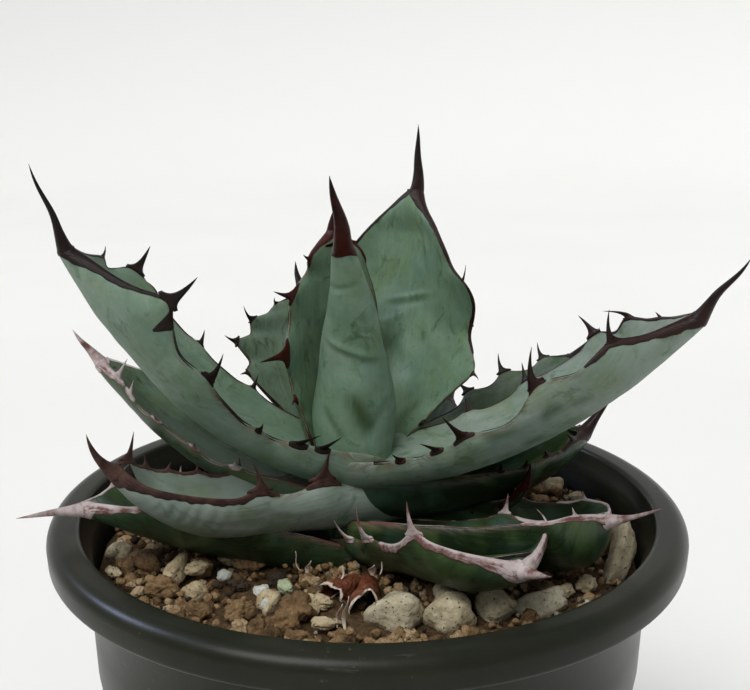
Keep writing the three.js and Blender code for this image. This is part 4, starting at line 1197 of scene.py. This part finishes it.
def leaf_skin():
    """Waxy green skin with a blue-grey bloom, darker where rubbed and where shade is painted, and fine
    lengthwise lines.
    """
    s = Shader("leaf_skin", IOR=1.4, Specular_IOR_Level=0.4)
    along = s.attribute("lengthwise")
    across = s.attribute("crosswise")
    seed = s.attribute("seed")
    streaks = s.noise(s.spread(along, 0.02, across, 0.5, seed), 1.0, 4.0, 0.6)
    fine = s.noise(s.spread(along, 0.12, across, 2.4, seed), 1.0, 3.0, 0.6)
    scurf = s.noise(s.spread(along, 0.35, across, 0.55, seed), 1.0, 4.0, 0.7)
    spot = s.spread(along, 0.05, across, 0.07, seed)
    clouds = s.noise(spot, 1.0, 4.0, 0.6, 0.6)
    patches = s.noise(s.scaled(spot, (3.1, 3.1, 1.0)), 1.0, 5.0, 0.65, 0.8)
    fresh = s.noise(s.scaled(spot, (1.7, 1.7, 1.0)), 1.0, 3.0, 0.5, 0.3)
    cool = s.noise(s.scaled(spot, (1.3, 0.9, 1.4)), 1.0, 3.0, 0.5, 0.5)
    bloom = s.math("MULTIPLY_ADD", clouds, 0.7, s.math("ADD", s.attribute("tone"), -0.38))
    bloom = s.vary(s.vary(bloom, streaks, 0.18), fine, 0.08)
    bloom = s.math("SUBTRACT", bloom, s.span(patches, 0.55, 0.72, 0.0, 0.36))
    bloom = s.math("ADD", s.vary(bloom, scurf, 0.32), s.span(s.attribute("nearness"), 0.55, 0.95, 0.0, 0.1))
    colour = s.ramp(bloom, [
        (0.0, (0.012, 0.024, 0.008)),
        (0.25, (0.032, 0.062, 0.026)),
        (0.5, (0.075, 0.135, 0.075)),
        (0.75, (0.125, 0.21, 0.135)),
        (1.0, (0.2, 0.285, 0.215)),
    ])
    colour = s.mix(s.span(fresh, 0.5, 0.75, 0.0, 0.5), colour, (0.105, 0.175, 0.055))
    colour = s.mix(s.span(cool, 0.52, 0.72, 0.0, 0.4), colour, (0.07, 0.15, 0.115))
    waxy = s.mix(1.0, colour, (1.22, 0.98, 1.18), "MULTIPLY")
    colour = s.mix(s.attribute("grey"), colour, waxy)
    # Darker green where the skin is rubbed, and painted shade where a rub stands for shadow.
    rubbed_and_shaded = s.math("MULTIPLY", s.attribute("rub"), s.span(fine, 0.3, 0.5, 0.5, 1.0), clamp=True)
    colour = s.mix(rubbed_and_shaded, colour, (0.03, 0.06, 0.017))
    brown = s.times(s.span(s.attribute("edge"), 0.2, 1.2, 0.75, 0.0), s.span(fine, 0.4, 0.6))
    colour = s.mix(brown, colour, (0.12, 0.075, 0.045))
    roughness = s.math("MULTIPLY_ADD", bloom, 0.26, 0.36, clamp=True)
    relief = s.bumps((fine, 0.25, 0.00022), (streaks, 0.5, 0.0006), (patches, 0.35, 0.0004))
    return s.finish(colour, roughness, relief)


HORN_COLOURS = {
    "dark": [(0.0, (0.006, 0.004, 0.003)), (0.5, (0.014, 0.007, 0.005)), (1.0, (0.05, 0.025, 0.018))],
    "red": [(0.0, (0.012, 0.003, 0.002)), (0.45, (0.055, 0.007, 0.005)), (1.0, (0.15, 0.026, 0.016))],
    "brown": [(0.0, (0.009, 0.005, 0.004)), (0.5, (0.028, 0.011, 0.008)), (1.0, (0.1, 0.04, 0.026))],
    "rose": [(0.0, (0.024, 0.01, 0.008)), (0.45, (0.095, 0.048, 0.038)), (1.0, (0.28, 0.2, 0.175))],
    "grey": [(0.0, (0.14, 0.065, 0.055)), (0.2, (0.42, 0.35, 0.345)), (1.0, (0.78, 0.74, 0.75))],
}


def horn_skin(kind):
    """Hard horn with lengthwise fibres, darker at the tips. The worn kinds are paler and duller."""
    s = Shader("horn_" + kind, IOR=1.4, Specular_IOR_Level=0.22)
    worn = kind in ("grey", "rose")
    inner = s.attribute("inner")
    place = s.place()
    fibres = s.noise(s.spread(s.attribute("lengthwise"), 0.35, inner, 5.0, 3.0), 1.0, 4.0, 0.7)
    mottle = s.noise(place, 260.0, 4.0, 0.65)
    broad = s.noise(place, 70.0, 3.0, 0.6)
    value = s.math("MULTIPLY_ADD", mottle, 0.8, s.math("MULTIPLY_ADD", fibres, 0.55, -0.42))
    value = s.math("MULTIPLY_ADD", broad, 0.5, s.math("ADD", value, -0.2))
    for shade in (
        s.times(s.attribute("tip"), 0.15 if worn else 0.35),
        s.times(s.attribute("under"), 0.25 if worn else 0.0),
        s.span(inner, 0.75, 1.0, 0.0, 0.5 if worn else 0.1),
    ):
        value = s.math("SUBTRACT", value, shade)
    roughness = s.math("MULTIPLY_ADD", mottle, 0.3, 0.5 if worn else 0.26)
    relief = s.bumps((fibres, 0.5, 0.0004), (mottle, 0.5, 0.0005))
    return s.finish(s.ramp(value, HORN_COLOURS[kind]), roughness, relief)


def withered_skin():
    """Curled, dried leaf skin: dark red-brown, with papery pale edges and cracks."""
    s = Shader("withered_skin", IOR=1.4, Specular_IOR_Level=0.25)
    edge = s.attribute("edge")
    mottle = s.noise(s.place(), 210.0, 5.0, 0.68, 0.5)
    fibres = s.noise(s.spread(s.attribute("lengthwise"), 0.1, edge, 2.2, 0.0), 1.0, 4.0, 0.7)
    colour = s.ramp(s.math("MULTIPLY_ADD", fibres, 0.5, s.times(mottle, 0.6)), [
        (0.25, (0.035, 0.012, 0.008)),
        (0.5, (0.12, 0.034, 0.018)),
        (0.68, (0.23, 0.085, 0.04)),
        (0.85, (0.42, 0.26, 0.16)),
    ])
    torn = s.math("MULTIPLY_ADD", mottle, -2.2, s.math("ADD", edge, 0.55))
    colour = s.mix(s.span(torn, 0.0, 0.5, 1.0, 0.0), colour, (0.62, 0.53, 0.44))
    return s.finish(colour, 0.55, s.bumps((fibres, 0.7, 0.0008), (mottle, 0.6, 0.0007)))


def pumice_stone():
    """Porous pumice, from clean grey beige to yellowish, with open pores that are darkened with painted
    shade.
    """
    s = Shader("pumice_stone", IOR=1.45, Specular_IOR_Level=0.25)
    place = s.place()
    pores = s.cells(place, 1050.0)
    wide_pores = s.cells(place, 520.0)
    mottle = s.noise(place, 190.0, 5.0, 0.7)
    dust = s.noise(place, 900.0, 3.0, 0.6)
    clean = [(0.3, (0.22, 0.205, 0.15)), (0.55, (0.42, 0.395, 0.3)), (0.8, (0.62, 0.59, 0.48))]
    stained = [(0.3, (0.26, 0.19, 0.1)), (0.55, (0.5, 0.41, 0.26)), (0.8, (0.68, 0.6, 0.44))]
    colour = s.mix(s.attribute("tone"), s.ramp(mottle, clean), s.ramp(mottle, stained))
    open_pore = s.times(s.span(pores, 0.08, 0.34, 1.0, 0.0), s.span(dust, 0.47, 0.6))
    deep_pore = s.times(s.span(wide_pores, 0.06, 0.22, 0.8, 0.0), s.span(mottle, 0.54, 0.66))
    hole = s.math("MAXIMUM", open_pore, deep_pore)
    # Painted shade: the pores are darkened to a deep brown.
    colour = s.mix(s.times(hole, 0.85), colour, (0.06, 0.048, 0.033))
    solid = s.math("SUBTRACT", 1.0, hole)
    return s.finish(colour, 0.92, s.bumps((solid, 0.9, 0.0009), (mottle, 0.7, 0.0012), (dust, 0.4, 0.0004)))


CLAY_COLOURS = [
    (0.0, (0.03, 0.018, 0.009)),
    (0.3, (0.1, 0.06, 0.028)),
    (0.55, (0.21, 0.13, 0.062)),
    (0.8, (0.36, 0.24, 0.125)),
    (1.0, (0.52, 0.4, 0.25)),
]
GRIT_COLOURS = [
    (0.0, (0.03, 0.024, 0.018)),
    (0.35, (0.055, 0.04, 0.028)),
    (0.6, (0.12, 0.075, 0.045)),
    (0.8, (0.26, 0.23, 0.17)),
    (1.0, (0.62, 0.6, 0.52)),
]
PERLITE_COLOURS = [(0.0, (0.3, 0.31, 0.26)), (0.5, (0.58, 0.6, 0.53)), (1.0, (0.78, 0.8, 0.75))]
GREEN_COLOURS = [(0.0, (0.12, 0.15, 0.08)), (0.5, (0.3, 0.36, 0.2)), (1.0, (0.6, 0.66, 0.48))]


def grain_stone(name, stops, rough_scale, paler=0.0):
    """Crumbly mineral grains whose shade differs from grain to grain."""
    s = Shader(name, IOR=1.45, Specular_IOR_Level=0.2)
    place = s.place()
    mottle = s.noise(place, rough_scale, 5.0, 0.7)
    fine = s.noise(place, rough_scale * 3.4, 3.0, 0.65)
    shade = s.vary(s.vary(s.math("ADD", s.attribute("tone"), paler), mottle, 0.8), fine, 0.5)
    return s.finish(s.ramp(shade, stops), 0.94, s.bumps((mottle, 1.0, 0.0016), (fine, 0.8, 0.0007)))


def pot_plastic():
    """Dark olive moulded plastic with a fine grain, dull inside and darkened there with painted shade, with
    dust and a few scuffs.
    """
    s = Shader("pot_plastic", IOR=1.4, Specular_IOR_Level=0.25)
    place = s.place()
    grain = s.noise(place, 1500.0, 2.0, 0.5)
    smudge = s.noise(place, 24.0, 4.0, 0.6, 0.4)
    dust = s.noise(place, 420.0, 4.0, 0.7)
    scratch = s.noise(s.scaled(place, (60.0, 60.0, 900.0)), 1.0, 3.0, 0.6)
    from_axis = s.length(s.scaled(place, (1.0, 1.0, 0.0)))
    height = s.node("SeparateXYZ", {0: place}).outputs["Z"]
    inside = s.times(s.span(from_axis, 0.0775, 0.0785, 1.0, 0.0), s.span(height, 0.1, 0.101))
    colour = s.ramp(smudge, [(0.3, (0.009, 0.0105, 0.006)), (0.7, (0.018, 0.019, 0.011))])
    specks = s.times(s.span(dust, 0.64, 0.72), s.span(smudge, 0.5, 0.65, 0.0, 0.5))
    colour = s.mix(specks, colour, (0.26, 0.23, 0.18))
    scuff = s.times(s.span(scratch, 0.66, 0.72), s.span(smudge, 0.52, 0.62, 0.0, 0.35))
    colour = s.mix(scuff, colour, (0.2, 0.2, 0.18))
    # Painted shade: the inner wall is darkened nearly to black.
    colour = s.mix(s.times(inside, 0.85), colour, (0.002, 0.002, 0.0016))
    roughness = s.math("ADD", s.span(smudge, 0.3, 0.75, 0.27, 0.38), s.times(inside, 0.5))
    return s.finish(colour, roughness, s.bumps((grain, 0.12, 0.0002), (smudge, 0.1, 0.0006)))


def studio_wall():
    """Pale paper, greyed far behind the object with painted shade for the light's fall-off."""
    s = Shader("studio_wall", IOR=1.3)
    place = s.place()
    mottle = s.noise(place, 3.0, 2.0, 0.5)
    colour = s.ramp(mottle, [(0.3, (0.84, 0.835, 0.82)), (0.7, (0.87, 0.865, 0.855))])
    # Painted shade: greyer with distance, for the light falling off.
    colour = s.mix(s.span(s.length(place), 1.0, 3.0), colour, (0.75, 0.75, 0.742))
    return s.finish(colour, 0.9)


# Studio


def make_camera():
    data = bpy.data.cameras.new("camera")
    data.lens = CAMERA_LENS
    data.sensor_width = SENSOR_WIDTH
    data.sensor_fit = "HORIZONTAL"
    data.clip_start = 0.01
    data.clip_end = 20
    camera = bpy.data.objects.new("camera", data)
    camera.location = Vector(CAMERA_AT) * MM
    camera.rotation_euler = (math.radians(90 - CAMERA_DOWN), 0, 0)
    bpy.context.scene.collection.objects.link(camera)
    bpy.context.scene.camera = camera


def make_backdrop():
    """A round floor that curves up into a low wall far off, so that every view has a pale ground."""
    below = -0.2
    bend = WALL_RADIUS - FLOOR_RADIUS
    profile = [(radius, below) for radius in (60, 200, 500, 1000, FLOOR_RADIUS)]
    for angle in np.linspace(0.1, 1.57, 14):
        profile.append((FLOOR_RADIUS + bend * math.sin(angle), below + bend - bend * math.cos(angle)))
    profile.append((WALL_RADIUS, 2 * bend))
    segments = 96
    faces = [face[::-1] for face in tube_faces(len(profile), segments)[:-1]]
    add_object("backdrop", around_axis(profile, segments), faces, studio_wall())


def add_sun(name, strength, softness, azimuth, elevation, colour):
    """Soft light from far off. azimuth 0 is the camera's side and grows to the photo's left."""
    data = bpy.data.lights.new(name, "SUN")
    data.energy = strength
    data.angle = math.radians(softness)
    data.color = colour
    light = bpy.data.objects.new(name, data)
    light.rotation_euler = (math.radians(90 - elevation), 0, math.radians(-azimuth))
    bpy.context.scene.collection.objects.link(light)
    return light


def light_studio():
    world = bpy.data.worlds.new("studio")
    world.use_nodes = True
    background = world.node_tree.nodes["Background"]
    background.inputs["Color"].default_value = (0.95, 0.97, 1.0, 1)
    background.inputs["Strength"].default_value = 0.5
    bpy.context.scene.world = world
    add_sun("window", 2.1, 35, 38, 58, (1.0, 1.0, 0.97))
    sky_gloss = add_sun("sky_gloss", 2.0, 18, 104, 36, (0.62, 0.72, 1.0))
    sky_gloss.visible_diffuse = False
    bpy.context.scene.view_settings.view_transform = "Standard"


# The scene


def build():
    make_camera()
    make_backdrop()
    light_studio()
    green_skin = leaf_skin()
    horns = {kind: horn_skin(kind) for kind in HORN_COLOURS}
    dried_skin = withered_skin()
    stones = {
        "cream": pumice_stone(),
        "clay": grain_stone("fired_clay", CLAY_COLOURS, 330.0),
        "dark": grain_stone("grit", GRIT_COLOURS, 500.0),
        "perlite": grain_stone("perlite", PERLITE_COLOURS, 420.0),
        "green": grain_stone("green_stone", GREEN_COLOURS, 300.0),
    }
    in_the_way = []
    for leaf in LEAVES:
        in_the_way.append(make_blade(leaf, green_skin))
        in_the_way.append(make_horn(leaf, horns[leaf["horn"]]))
    for name in WITHERED_LEAVES:
        in_the_way.append(make_withered(name, dried_skin))
    make_pot(pot_plastic())
    make_stem(green_skin)
    in_the_way += make_stones(stones["cream"])
    in_the_way += make_pebbles(stones)
    tree = obstacle_tree(in_the_way)
    rng = random.Random(7)
    for name in GRAINS:
        scatter_grains(rng, name, stones, tree)
    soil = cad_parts["soil"]
    soil.data.materials.clear()
    soil.data.materials.append(grain_stone("soil_fines", CLAY_COLOURS, 700.0, paler=0.34))


build()
